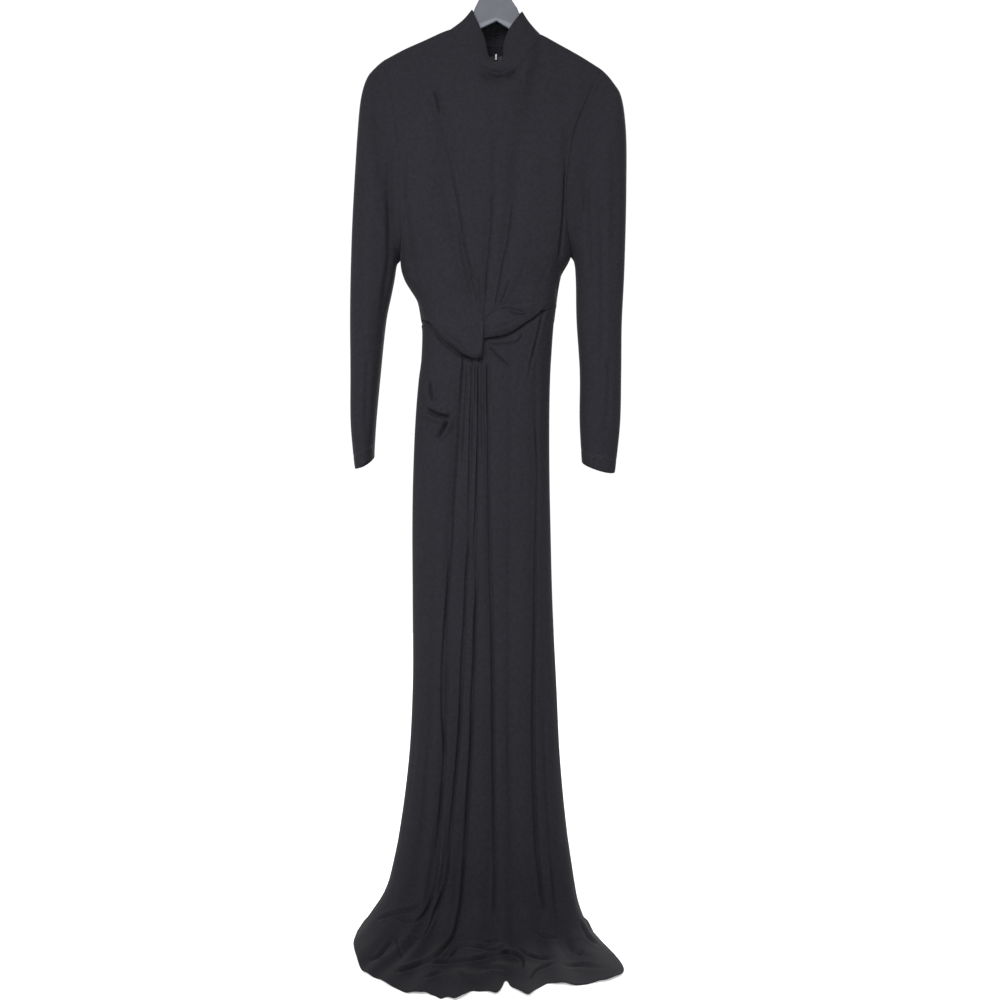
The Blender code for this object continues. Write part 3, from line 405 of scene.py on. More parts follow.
SECTIONS = rows_of(Section, (
    (575, -122, 96.3, 57, 34), (598, -118.8, 93.3, 57, 35), (661, -119.7, 88.6, 55, 36),
    (693, -123.7, 87, 54, 38), (789, -130.3, 85.6, 54, 43), (917, -133.8, 87.3, 56, 47),
    (1046, -134.1, 90.7, 58, 50), (1175, -134.3, 97.3, 60, 52), (1304, -141.1, 103.9, 64, 56),
    (1434, -159.1, 117, 72, 62), (1500, -173, 127, 79, 68),
))
FOLD_LEVELS = (600, 720, 1050, 1300, 1500)
FRONT_FOLDS = rows_of(Fold, (
    ((0, 0, 0, 0, 0), (0, 0, 0, 0, 0), -224, -12, 4, 1),
    ((0.03, 0.03, 0.035, 0.04, 0.033), (0, 0, 0, 1, 2), -224, -75, 9, 0.75),
    ((0.09, 0.094, 0.107, 0.078, 0.08), (1, 3, 3, 5, 8), -214, -142, 12, 0.5),
    ((0.145, 0.17, 0.16, 0.135, 0.157), (0, 0, -1, -4, -8), -202, -196, 0, 0.3),
    ((0.25, 0.235, 0.196, 0.188, 0.197), (1, 4, 4, 5, 7), -191, -220, 11, 0.2),
    ((0.343, 0.33, 0.253, 0.237, 0.237), (-3, -7, -8, -9, -10), -177, -238, 0, 0.12),
    ((0.372, 0.381, 0.316, 0.273, 0.261), (0, 2, 4, 5, 4), -160, -262, 11, 0.08),
    ((0.395, 0.433, 0.391, 0.322, 0.288), (-2, -3, -5, -6, -6), -136, -286, 0, 0.04),
    ((0.409, 0.449, 0.422, 0.363, 0.334), (-1, -1, 2, 5, 6), -110, -302, 14, 0),
    ((0.424, 0.464, 0.453, 0.408, 0.391), (-2, -4, -5, -7, -8), -84, -309, 0, 0),
    ((0.447, 0.494, 0.502, 0.486, 0.482), (1, 3, 5, 7, 8), -52, -318, 15, 0),
    ((0.475, 0.527, 0.558, 0.56, 0.568), (-3, -5, -6, -7, -8), -25, -295, 0, 0),
    ((0.57, 0.621, 0.631, 0.608, 0.619), (2, 4, 5, 6, 7), 0, -297, 13, 0),
    ((0.664, 0.706, 0.687, 0.653, 0.672), (0, -1, -1, -2, -5), 17, -276, 0, 0),
    ((0.758, 0.8, 0.778, 0.735, 0.739), (1, 3, 5, 6, 7), 43, -310, 15, 0),
    ((0.843, 0.894, 0.867, 0.816, 0.809), (-1, -3, -6, -7, -8), 69, -277, 0, 0),
    ((0.89, 0.927, 0.898, 0.853, 0.846), (0, 1, 2, 4, 5), 99, -259, 12, 0),
    ((0.923, 0.948, 0.924, 0.886, 0.873), (0, 0, 0, -3, -5), 130, -254, 0, 0.04),
    ((0.951, 0.967, 0.956, 0.935, 0.93), (0, 0, 1, 4, 5), 172, -243, 14, 0.1),
    ((0.976, 0.984, 0.982, 0.971, 0.967), (0, 0, 0, 1, 2), 192, -190, 6, 0.3),
    ((1, 1, 1, 1, 1), (0, 0, 0, 0, 0), 157, -12, 4, 0.6),
))
BACK_LEFT_FOLDS = rows_of(Fold, (
    ((0.5, 0.5, 0.5, 0.5, 0.5), (0, 0, 0, 0, 0), -34, 158, 4, 0.35),
    ((0.44, 0.435, 0.425, 0.43, 0.425), (1, 2, -5, -6, -6), -88, 152, 0, 0.4),
    ((0.35, 0.35, 0.34, 0.35, 0.35), (1, 3, 5, 6, 7), -138, 138, 15, 0.5),
    ((0.24, 0.25, 0.25, 0.24, 0.25), (-1, -4, -6, -7, -8), -184, 100, 0, 0.65),
    ((0.12, 0.13, 0.14, 0.13, 0.13), (1, 3, 4, 6, 6), -213, 52, 14, 0.85),
    ((0, 0, 0, 0, 0), (0, 0, 0, 0, 0), -224, -12, 4, 1),
))
BACK_RIGHT_FOLDS = rows_of(Fold, (
    ((1, 1, 1, 1, 1), (0, 0, 0, 0, 0), 157, -12, 4, 0.6),
    ((0.88, 0.87, 0.87, 0.86, 0.87), (1, 3, 4, 5, 6), 146, 55, 13, 0.55),
    ((0.76, 0.77, 0.76, 0.75, 0.76), (-1, -3, -6, -7, -7), 112, 106, 0, 0.5),
    ((0.65, 0.66, 0.64, 0.65, 0.65), (1, 3, 5, 7, 7), 66, 139, 16, 0.45),
    ((0.56, 0.565, 0.56, 0.565, 0.57), (1, 2, -4, -6, -6), 18, 153, 0, 0.4),
    ((0.5, 0.5, 0.5, 0.5, 0.5), (0, 0, 0, 0, 0), -34, 158, 4, 0.35),
))
POOL_ROWS = rows_of(PoolRow, (
    (0, 0, 1, 0, 0), (0.05, 0.26, 0.62, 0.25, 0), (0.15, 0.56, 0.32, 0.6, 0), (0.29, 0.77, 0.13, 0.95, 0.3),
    (0.43, 0.86, 0.05, 1, 1), (0.57, 0.91, 0.02, 0.9, 0.1), (0.72, 0.95, 0, 0.8, 0.8),
    (0.87, 0.98, 0, 0.65, 0), (1, 1, 0, 0.5, 0),
))
SKIRT_TOP = rows_of(TopEdge, (
    (0, 597), (0.04, 596), (0.09, 600), (0.18, 611), (0.3, 621), (0.4, 624), (0.46, 620), (0.57, 610),
    (0.69, 599), (0.8, 588), (0.93, 575), (1, 571.5),
))
COLLAR_BACK_LEFT = rows_of(CollarLine, (
    (0.3, 33, 160, 0.3, 27, 113.5, 2), (-27, 31.5, 156.5, -13, 25.5, 112.5, 2),
    (-48, 26, 150, -25, 20, 111, 1.5), (-63, 14.5, 142.5, -34, 11, 109.5, -1),
    (-71, 0, 138.5, -38, 0, 109, -2.8),
))
COLLAR_BACK_RIGHT = rows_of(CollarLine, (
    (-0.3, 33, 160, -0.3, 27, 113.5, 2), (26, 31.5, 158, 13, 25.5, 113, 2),
    (47.5, 26, 153.5, 25, 20, 112.5, 1.5), (62, 14.5, 149, 36, 11, 112, -0.8),
    (70, 0, 146.5, 41.8, 0, 112, -2),
))
COLLAR_FRONT = rows_of(CollarLine, (
    (-71, 0, 138.5, -38, 0, 109, -2.8), (-69, -9.5, 143.5, -37, -8.5, 112, -2.2),
    (-58, -22.5, 160.5, -26, -15, 136.5, 1), (-42, -33, 181, -17, -19.5, 159, 2.5),
    (-23, -39.5, 202.5, -10.5, -28.5, 187.5, 4.5), (1.5, -41.5, 215.6, 2, -36.5, 200.8, 5),
    (23, -40.5, 209, 10.5, -28.5, 188.5, 4.5), (40, -35.5, 195.5, 12, -20, 166.5, 3),
    (57, -23, 170.5, 21, -15.5, 141, 1), (67, -9.5, 152.5, 39.5, -8.5, 115, -1.6),
    (70, 0, 146.5, 41.8, 0, 112, -2),
))
NECK_SHARE = 0.42
# Notches and lobes of the hem: where, how far in or out where it is negative, and how wide
HEM_NOTCHES = (
    (-100, -12, 110), (128, -17, 42), (-170, 5, 9), (-128, -6, 8), (-100, 6, 6),
    (-78, -10, 6), (-58, -11, 8), (-34, 9, 7), (2, -14, 9), (15, 27, 4.5),
    (47, -12, 8), (76, 9, 8), (112, -6, 10), (150, 5, 9),
)
LEFT_ARMHOLE = rows_of(Armhole, (
    (-177, 187.5, 0.4, 0.4), (-176, 191.5, 6.4, 6.4), (-172, 212, 15, 12), (-164, 252, 27, 20),
    (-156, 305, 36, 26), (-150, 365, 40, 29), (-147, 425, 38, 27), (-149, 470, 27, 19),
    (-152.5, 505, 0.3, 0.3),
))
RIGHT_ARMHOLE = rows_of(Armhole, (
    (165, 200.5, 0.4, 0.4), (164, 205, 6.4, 6.4), (155, 224, 15, 12), (140, 260, 27, 20),
    (123, 305, 36, 26), (113.5, 362, 40, 29), (111, 425, 38, 27), (113.5, 466, 27, 19),
    (119, 499, 0.3, 0.3),
))
FRONT_LINE = rows_of(Line, (
    (1.5, -41.5, 215.7, 1), (1.4, -44.5, 222, 1), (1.3, -50, 244, 0.75), (0.8, -55, 282, 0.45),
    (-0.2, -57.5, 327, 0.2), (-2, -58.5, 378, 0.07), (-5.5, -58.5, 430, 0), (-9.5, -58, 470, 0),
    (-13, -58, 507, 0),
))
LEFT_LINE_END = rows_of(Line, (
    (-15, -57.9, 548, 0), (-18, -58.6, 590, 0), (-20, -63, 630, 0), (-21.5, -64, 655, 0),
))
RIGHT_LINE_END = rows_of(Line, (
    (-15.5, -57.5, 532, 0), (-19, -57.3, 560, 0), (-23, -57.7, 586, 0), (-25, -58.2, 608, 0),
))
BACK_LINE = rows_of(Line, (
    (0, 33, 160.3, 1), (0, 33.5, 166, 1), (0, 34, 190, 0.7), (-0.5, 34.5, 235, 0.35), (-1.5, 35, 290, 0.12),
    (-3, 35.5, 350, 0), (-5, 36, 410, 0), (-7, 36, 458, 0), (-9, 35.6, 505, 0), (-10.8, 35.3, 540, 0),
    (-12, 35.1, 572, 0), (-12.9, 35.1, 603.7, 0),
))
LEFT_SIDE_FRONT = ((-146, 534), (-126.7, 566), (-120, 584), (-118.8, 598.7))
RIGHT_SIDE_FRONT = ((107.5, 518), (102, 537), (98.5, 556), (96, 573.8))
LEFT_SIDE_BACK = ((-146, 534), (-126.7, 566), (-118.9, 603.7))
RIGHT_SIDE_BACK = ((103.5, 530), (98.5, 560), (93, 603.7))
LEFT_SHOULDER = ((-87, 144.5), (-112, 156), (-145, 170.6))
RIGHT_SHOULDER = ((79, 150.8), (100, 162.4), (134, 181.2))
LEFT_RINGS = rows_of(Ring, (
    (-190.5, 198.5, -154.2, 506.5, 27, 22), (-203, 213.5, -155.8, 508, 33, 27),
    (-212.5, 242, -157.3, 510, 38, 31), (-219.5, 300, -158.8, 514, 40, 33), (-226, 400, -160, 521, 39, 34),
    (-231, 510, -162.5, 536, 37, 34), (-233, 600, -174.6, 598, 36, 34), (-232.3, 690, -184.3, 688, 35, 34),
    (-231.5, 765, -191, 760, 35, 34), (-225.5, 831, -194.5, 812, 34, 34),
))
RIGHT_RINGS = rows_of(Ring, (
    (175.5, 210, 121, 500.5, 27, 22), (186, 223, 122.5, 502.5, 33, 27), (197.5, 240, 124, 505.5, 37, 30),
    (205.5, 285, 125.5, 512, 37, 31), (207.3, 390, 126.5, 523, 35, 31), (204.5, 505, 127.5, 545, 33, 30),
    (200.5, 600, 128.6, 600, 31, 29), (200, 680, 134, 682, 30, 29), (198.5, 760, 134, 758, 29, 28),
    (190.5, 838, 137, 822, 28, 28),
))
FOLD_DEPTH = 0.5
LOW_FOLD_DEPTH = 0.35
# Where something starts and over what distance: the folds grow softer, the zip's gap opens and closes,
# the back laps the front's side seam, the drape sags and laps the skirt, and the right half melts into it
SOFTENING = (1380, 100)
GAP_OPENING = (ZIP_START, 9)
GAP_CLOSING = (ZIP_END, 14)
SIDE_LAPPING = (1380, 40)
SAGGING = (540, 70)
LAPPING = (574, 12)
MELTING, MELTING_X = (535, 28), (34, 24)
DIPPING_X = (60, 16)
SLITTING = (565, 30)
TOP_TUCKING_X = (75, -20)
# How far cloth dips at a sewn or turned edge, and over what distance
SEAM_TUCK = (0.8, 2.0)
TOP_TUCK = (1.8, 2.5)
NECK_TUCK = (0.2, 1.6)
SLIT_TUCK = (0.9, 1.6)
DRAPE_TUCK = (4.8, 3.2)
LOOP_TUCK = (0.6, 1.5)
COLLAR_TUCK = (0.5, 1.2)
# Over what distance from a seam cloth gets free to crease
SEAM_HOLD = 9.0
BACK_HOLD = 12.0
SLEEVE_HOLD = 4.0
HEM_HOLD = 5.0
# How much closer together a skirt's columns are at its side seams, and at the twist
SEAM_COLUMNS = (1.6, 0.03)
TWIST_COLUMNS = (1.5, 0.45, 0.16)
# How much closer together the bodice's columns are at the armholes
ARM_COLUMNS = 0.75
# How far the skirt is evened out to each side of where the pool starts, and how often
BREAK_REACH = 5
BREAK_PASSES = 14
# The pooled hem: its waves as (share, length, shift), how far it stays off the floor, and how late it
# spreads its notches and sinks
POOL_WAVES = ((1, 23.0, 0.0), (0.5, 9.5, 1.0))
POOL_GROUND = 1.4
NOTCH_POWER = 8
SINK_POWER = 6
FLOOR_GAP = 1.1
CREASE_FLOOR = 60
TROUGH_POWER = 2.2
POOL_LIFT = 0.5
POOL_REST = 4.5
POOL_ROLL = 6.0
POOL_WANDER = 0.3
ROLL_CENTRE = -15.0
ROLL_REACH = 75.0
SECTION_SQUARE = 2.6
BODICE_SQUARE = 2.3
SLEEVE_SQUARE = 0.8
CUFF_SAG = 8.0
ARMHOLE_PULL = (0.6, 0.3, 0.1)
# How far out and down the cloth rolls below the neck and below the shoulder, and where one gives way
NECK_ROLL = (1.0, 6.0)
SHOULDER_ROLL = (5.8, 4.0)
ROLLING = (0.3, 0.15)
SHOULDER_SEAM = 0.4
# How far the drape's lower edge hangs below a straight line, from the twist to the side
DRAPE_SAG = (
    (0, 0), (0.04, 6), (0.107, 11.8), (0.214, 14.9), (0.32, 15.8), (0.473, 13.7), (0.575, 12.3),
    (0.676, 8.8), (0.81, 2.5), (0.92, -0.8), (1, 0),
)
# How far the drape stands off the skirt
LAP = 2.4
LAP_REACH = 8.0
# How far the backs' seam and the side seams lap, and over what distance
SEAM_LAP, SEAM_LAP_TOP = 0.4, 0.3
GAP_REACH = 40
SIDE_LAP, SIDE_LAP_REACH = 1.6, 12
# How the right half's last rows go down and in behind the skirt's upper edge
MELT_ROWS, MELT_DIP = 6, 5.0
MELT_STAND = (0.5, -0.7)
# The fold from the corner between neck and shoulder: where it is rounded off, how widely, how often
ROUNDING = (5, 20)
ROUND_REACH, ROUND_PASSES = 14, 60
# How far from the middle both halves of the front are made to agree, how many rows down the slit they
# still do, and where the right half's lower edge is no longer turned in
MIDDLE_REACH = 0.05
SLIT_ROWS, SLIT_FADE = 6, 8
LOOP_SIDE = 50


class Half(NamedTuple):
    """What differs between the left and the right half of the bodice."""

    outward: int
    armhole: tuple
    line_end: tuple
    seams: dict
    shoulder: tuple
    collar: dict
    seed: float


MIDDLE = len(COLLAR_FRONT) // 2
LEFT = Half(
    -1, LEFT_ARMHOLE, LEFT_LINE_END, {"front": LEFT_SIDE_FRONT, "back": LEFT_SIDE_BACK}, LEFT_SHOULDER,
    {"front": COLLAR_FRONT[MIDDLE::-1], "back": COLLAR_BACK_LEFT}, 0.9,
)
RIGHT = Half(
    1, RIGHT_ARMHOLE, RIGHT_LINE_END, {"front": RIGHT_SIDE_FRONT, "back": RIGHT_SIDE_BACK}, RIGHT_SHOULDER,
    {"front": COLLAR_FRONT[MIDDLE:], "back": COLLAR_BACK_RIGHT}, 3.3,
)


class DressForm:
    """The shape of the dress that its pieces share."""

    def sides(self, drop: Array) -> tuple[Array, Array]:
        """Gives the left and right sides of the dress at drops."""
        return read(SECTIONS, "drop", "left", drop), read(SECTIONS, "drop", "right", drop)

    def depth(self, share: Array, drop: Array, side: str) -> Array:
        """Gives the plain depth of the dress's front or back at shares of its width."""
        return read(SECTIONS, "drop", side, drop) * round_off(2 * share - 1, SECTION_SQUARE)

    def levels(self, folds: Sequence[Fold], name: str, drop: Array) -> Array:
        """Reads a measure of every fold line at drops."""
        return smooth(FOLD_LEVELS, np.array([getattr(fold, name) for fold in folds]).T, drop)

    def ridge(self, near: Array, far: Array, part: Array) -> tuple[Array, ...]:
        """Gives the crest and the trough of two fold lines, and how far places are from the crest."""
        return np.maximum(near, far), np.minimum(near, far), np.where(near > far, part, 1 - part)

    def fold(
        self, folds: Sequence[Fold], place: Array, drop: Array
    ) -> tuple[Array, Array]:
        """Gives the share and the out of places between the fold lines, at drops."""
        index = np.clip(place.astype(int), 0, len(folds) - 2)
        part = place - index
        shares, outs = (self.levels(folds, name, drop) for name in ("shares", "outs"))
        share = mix(pick(shares, index), pick(shares, index + 1), part)
        crest, trough, into = self.ridge(pick(outs, index), pick(outs, index + 1), part)
        low = onset(drop, *SOFTENING)
        depth = mix(FOLD_DEPTH, LOW_FOLD_DEPTH, low)
        return share, depth * mix(crest, trough, mix(into**TROUGH_POWER, ease(into), low))

    def surface(self, folds: Sequence[Fold], place: Array, drop: Array, side: str) -> Array:
        """Gives points of the skirt's surface above the pool."""
        share, out = self.fold(folds, place, drop)
        left, right = self.sides(drop)
        depth = np.maximum(self.depth(share, drop, side) + out, SEAM)
        sign = 1 if side == "back" else -1
        return np.stack([mix(left, right, share), sign * depth, -drop], axis=-1)

    def front_depth(self, x: Array, drop: Array) -> Array:
        """Gives how far the skirt's front stands forward at places."""
        left, right = self.sides(drop)
        share = (x - left) / (right - left)
        lines = self.levels(FRONT_FOLDS, "shares", drop)
        index = np.clip((lines <= share[..., None]).sum(axis=-1) - 1, 0, len(FRONT_FOLDS) - 2)
        near, far = pick(lines, index), pick(lines, index + 1)
        part = np.clip((share - near) / (far - near), 0.0, 1.0)
        return -self.surface(FRONT_FOLDS, index + part, drop, "front")[..., 1]


FORM = DressForm()


# ---- Meshes ----


def put(name: str, data: bpy.types.ID) -> Object:
    """Puts an object into the scene."""
    made = bpy.data.objects.new(name, data)
    bpy.context.scene.collection.objects.link(made)
    return made


def chart(points: Array, around: bool) -> Array:
    """Lays a grid out flat: how far each point is across and down, in metres."""
    if around:
        points = np.concatenate([points, points[:, :1]], axis=1)
    across = travelled(points, 1)
    across = across - across[:, across.shape[1] // 2 : across.shape[1] // 2 + 1]
    return np.stack([across, -travelled(points, 0)], axis=-1) * MM


def loft(name: str, grids: Sequence[Array], around: bool = False) -> Object:
    """Makes an open surface through grids of points, sewn together where they share an edge.

    Args:
        name: The piece's name.
        grids: Grids in millimetres, rows by columns by 3.
        around: Whether each row is a closed ring.

    Returns:
        The surface, with its flat layout as UVs in metres.
    """
    vertices, faces, layout = [], [], []
    count = 0
    for points in grids:
        rows, columns = points.shape[:2]
        index = count + np.arange(rows * columns).reshape(rows, columns)
        if around:
            index = np.concatenate([index, index[:, :1]], axis=1)
        flat = chart(points, around)
        for source, target, width in ((index[..., None], faces, 4), (flat, layout, 8)):
            corners = (source[:-1, :-1], source[1:, :-1], source[1:, 1:], source[:-1, 1:])
            target.append(np.concatenate(corners, axis=-1).reshape(-1, width))
        vertices.append(points.reshape(-1, 3) * MM)
        count += rows * columns
    mesh = bpy.data.meshes.new(name)
    mesh.from_pydata(np.concatenate(vertices).tolist(), [], np.concatenate(faces).tolist())
    mesh.uv_layers.new(name=LAYOUT).data.foreach_set("uv", np.concatenate(layout).ravel())
    if len(grids) > 1:
        sewn = bmesh.new()
        sewn.from_mesh(mesh)
        bmesh.ops.remove_doubles(sewn, verts=sewn.verts, dist=0.01 * MM)
        sewn.to_mesh(mesh)
        sewn.free()
    mesh.shade_smooth()
    return put(name, mesh)


def add_wall(piece: Object, wall: float) -> None:
    """Gives a surface a wall inwards."""
    solidify = piece.modifiers.new("Wall", "SOLIDIFY")
    solidify.thickness = wall * MM
    solidify.offset = -1.0
    solidify.use_even_offset = False


def from_edges(points: Array, edges: str) -> Array:
    """Gives how far points are from edges: any of "t", "b", "l" and "r", as in top and bottom."""
    across, down = travelled(points, 1), travelled(points, 0)
    ends = {"l": across, "r": across[:, -1:] - across, "t": down, "b": down[-1:] - down}
    return np.minimum.reduce([ends[edge] for edge in edges])


def edge_roll(points: Array, depth: float, reach: float, edges: str) -> Array:
    """Gives how far cloth dips towards its sewn edges, by a depth at them and over a reach."""
    return depth * bell(from_edges(points, edges), reach)


def held(points: Array, reach: float, edges: str) -> Array:
    """Gives how free cloth is to move, from 0 at its sewn edges to 1."""
    return ease(from_edges(points, edges) / reach)


def spread(keys: Sequence[float], step: float, least: int = 3) -> Array:
    """Gives fine places between keys, with the keys among them."""
    places = [np.array(keys[:1], float)]
    for start, end in zip(keys, keys[1:]):
        count = max(least, math.ceil((end - start) / step))
        places.append(np.linspace(start, end, count + 1)[1:])
    return np.concatenate(places)


# ---- Finishes ----


class Value:
    """A shader socket that Python expressions can use."""

    def __init__(self, recipe: "Recipe", socket: NodeSocket) -> None:
        self.recipe = recipe
        self.socket = socket

    def _math(self, operation: str, first: "Number", second: "Number") -> "Value":
        """Adds a Math node."""
        return self.recipe.node("ShaderNodeMath", {"operation": operation}, {0: first, 1: second})

    def __add__(self, other: "Number") -> "Value":
        return self._math("ADD", self, other)

    def __sub__(self, other: "Number") -> "Value":
        return self._math("SUBTRACT", self, other)

    def __rsub__(self, other: "Number") -> "Value":
        return self._math("SUBTRACT", other, self)

    def __mul__(self, other: "Number") -> "Value":
        return self._math("MULTIPLY", self, other)

    __radd__ = __add__
    __rmul__ = __mul__

    def sine(self) -> "Value":
        """Gives its sine."""
        return self._math("SINE", self, 0.0)

    def size(self) -> "Value":
        """Gives it without its sign."""
        return self._math("ABSOLUTE", self, 0.0)

    def part(self) -> "Value":
        """Gives what is left of it over a whole number."""
        return self._math("FRACT", self, 0.0)


Number = Value | float
Colour = tuple[float, float, float]


class Recipe:
    """A material that is written as Python expressions."""

    def __init__(self, name: str) -> None:
        self.material = bpy.data.materials.new(name)
        self.material.use_nodes = True
        self.tree = self.material.node_tree
        self.shader = self.tree.nodes["Principled BSDF"]

    def node(self, kind: str, settings: dict, values: dict, output: int | str = 0) -> Value:
        """Adds a node.

        Args:
            kind: The node's type.
            settings: Its settings, which are set first.
            values: The values or links of its sockets.
            output: Which output is wanted.

        Returns:
            The output.
        """
        made = self.tree.nodes.new(kind)
        for name, setting in settings.items():
            setattr(made, name, setting)
        for name, value in values.items():
            if isinstance(value, Value):
                self.tree.links.new(value.socket, made.inputs[name])
            else:
                made.inputs[name].default_value = value
        return Value(self, made.outputs[output])

    def place(self) -> Value:
        """Gives the place on the object."""
        return self.node("ShaderNodeTexCoord", {}, {}, "Object")

    def layout(self) -> Value:
        """Gives the place on the cloth laid flat."""
        return self.node("ShaderNodeUVMap", {"uv_map": LAYOUT}, {})

    def axis(self, where: Value, number: int) -> Value:
        """Gives one measure of a place: 0 for X, 1 for Y and 2 for Z."""
        return self.node("ShaderNodeSeparateXYZ", {}, {0: where}, number)

    def noise(self, where: Value, scale: float, detail: float = 2.0, rough: float = 0.5) -> Value:
        """Gives soft noise from 0 to 1 at a scale in waves a metre."""
        values = {"Vector": where, "Scale": scale, "Detail": detail, "Roughness": rough}
        return self.node("ShaderNodeTexNoise", {}, values, "Fac")

    def stretched(self, where: Value, scale: Colour) -> Value:
        """Gives places stretched along each axis."""
        return self.node("ShaderNodeMapping", {}, {"Vector": where, "Scale": scale})

    def tint(self, dark: Value | Colour, light: Colour, amount: Number) -> Value:
        """Mixes two colours."""
        values = {0: amount, 6: dark if isinstance(dark, Value) else (*dark, 1.0), 7: (*light, 1.0)}
        return self.node("ShaderNodeMix", {"data_type": "RGBA"}, values, 2)

    def bump(self, height: Value, distance: float, strength: float = 1.0) -> Value:
        """Gives a normal from a height of 0 to 1, at a depth in millimetres."""
        values = {"Height": height, "Distance": distance * MM, "Strength": strength}
        return self.node("ShaderNodeBump", {}, values)

    def use(self, **sockets: Number | Colour) -> Material:
        """Sets the shader's sockets, by names with underscores for spaces, and ends the recipe."""
        for name, value in sockets.items():
            socket = self.shader.inputs[name.replace("_", " ")]
            if isinstance(value, Value):
                self.tree.links.new(value.socket, socket)
            elif isinstance(value, tuple):
                socket.default_value = (*value, 1.0)
            else:
                socket.default_value = value
        return self.material


@dataclass(frozen=True)
class Jersey:
    """Matt black viscose jersey, knitted in fine wales.

    Attributes:
        wale: Distance between the wales, in millimetres.
        course: Distance between the courses.
        dark: The colour in the knit's valleys.
        light: The colour of its loops.
    """

    name: str = "jersey"
    wale: float = 0.55
    course: float = 0.42
    dark: Colour = (0.0081, 0.0081, 0.0104)
    light: Colour = (0.0137, 0.0137, 0.0172)
    sheen: float = 0.03

    def make(self) -> Material:
        """Makes the material."""
        recipe = Recipe(self.name)
        layout = recipe.layout()
        across, down = recipe.axis(layout, 0), recipe.axis(layout, 1)
        wales = across * (1 / (self.wale * MM))
        lean = ((wales.part() - 0.5).size() * 2.0) - 0.5
        loops = (down * (1 / (self.course * MM)) + lean * 0.8) * (2 * math.pi)
        rib = (wales * math.pi).sine().size()
        knit = rib * (0.62 + loops.sine() * 0.38)
        where = recipe.place()
        cloud = recipe.noise(where, 5.0, 3.0)
        fuzz = recipe.noise(where, 2400.0, 2.0, 0.7)
        slub = recipe.noise(recipe.stretched(layout, (900.0, 60.0, 1.0)), 1.0, 2.0)
        mottle = recipe.noise(where, 190.0, 3.0, 0.7)
        shade = knit * 0.34 + cloud * 0.16 + fuzz * 0.18 + slub * 0.12 + mottle * 1.5 - 0.66
        height = knit * 0.75 + fuzz * 0.15 + slub * 0.10
        return recipe.use(
            Base_Color=recipe.tint(self.dark, self.light, shade * 1.15),
            Roughness=0.80 + fuzz * 0.14,
            Normal=recipe.bump(height, 0.10, 0.6),
            Specular_IOR_Level=0.06,
            Sheen_Weight=self.sheen,
            Sheen_Roughness=0.42,
        )


@dataclass(frozen=True)
class HangerPlastic:
    """Blue-grey moulded plastic with a fine matt grain, and a painted highlight along its lower rim.

    Attributes:
        dark: Its darker grey.
        light: Its lighter grey.
        highlight_grey: The grey of the highlight painted along the rim.
        rim: How far below the origin the painted highlight starts, in metres.
        slope: How much lower the painted highlight starts, for each metre to the side.
    """

    name: str = "hanger_plastic"
    dark: Colour = (0.031, 0.033, 0.044)
    light: Colour = (0.050, 0.053, 0.069)
    highlight_grey: Colour = (0.090, 0.096, 0.117)
    rim: float = 0.1205
    slope: float = 0.35

    def make(self) -> Material:
        """Makes the material."""
        recipe = Recipe(self.name)
        where = recipe.place()
        grain = recipe.noise(where, 1500.0, 3.0, 0.6)
        cloud = recipe.noise(where, 60.0, 3.0)
        scuff = recipe.noise(recipe.stretched(where, (60.0, 60.0, 700.0)), 1.0, 2.0)
        across, up = recipe.axis(where, 0), recipe.axis(where, 2)
        # Painted highlight: the lower rim is tinted lighter below a line that sinks towards the sides,
        # where its rounded edge would catch the light.
        below = (up * -1.0) - across.size() * self.slope - self.rim
        body = recipe.tint(self.dark, self.light, cloud * 0.9 + scuff * 0.5 - 0.2)
        return recipe.use(
            Base_Color=recipe.tint(body, self.highlight_grey, below * 350.0 + scuff * 0.4 - 0.2),
            Roughness=0.42 + grain * 0.22,
            Normal=recipe.bump(grain, 0.05, 0.5),
        )


@dataclass(frozen=True)
class Metal:
    """Polished, plated or blacked metal with faint draw marks.

    Attributes:
        dark: Its darker grey.
        light: Its lighter grey.
        gloss: Its roughness without the marks.
        ridge: Half the width of a middle ridge that is painted bright as a glint, in metres, or 0 for none.
    """

    name: str
    dark: Colour
    light: Colour
    gloss: float
    ridge: float = 0.0

    def make(self) -> Material:
        """Makes the material."""
        recipe = Recipe(self.name)
        where = recipe.place()
        marks = recipe.noise(recipe.stretched(where, (2600.0, 2600.0, 260.0)), 1.0, 3.0)
        # With a ridge, a painted glint: a bright stripe down the middle of the metal. Without one, the tone
        # wanders at random.
        if self.ridge:
            amount = 1.4 - recipe.axis(where, 0).size() * (1 / self.ridge) + marks * 0.3
        else:
            amount = recipe.noise(where, 90.0, 2.0)
        return recipe.use(
            Base_Color=recipe.tint(self.dark, self.light, amount),
            Metallic=1.0,
            Roughness=self.gloss + marks * 0.14,
            Normal=recipe.bump(marks, 0.02, 0.4),
        )


@dataclass(frozen=True)
class WovenTape:
    """Black twill tape, woven on the slant."""

    name: str = "zip_twill"
    pitch: float = 0.5
    dark: Colour = (0.011, 0.011, 0.013)
    light: Colour = (0.025, 0.025, 0.029)

    def make(self) -> Material:
        """Makes the material."""
        recipe = Recipe(self.name)
        layout = recipe.layout()
        across, down = recipe.axis(layout, 0), recipe.axis(layout, 1)
        turns = 2 * math.pi / (self.pitch * MM)
        twill = ((across.size() + down) * turns).sine() * 0.5 + 0.5
        thread = ((across.size() - down * 0.2) * (2.2 * turns)).sine() * 0.5 + 0.5
        fuzz = recipe.noise(recipe.place(), 2600.0, 2.0)
        weave = twill * 0.6 + thread * 0.25 + fuzz * 0.15
        return recipe.use(
            Base_Color=recipe.tint(self.dark, self.light, weave),
            Roughness=0.72 + fuzz * 0.2,
            Normal=recipe.bump(weave, 0.12, 0.7),
            Sheen_Weight=0.15,
        )


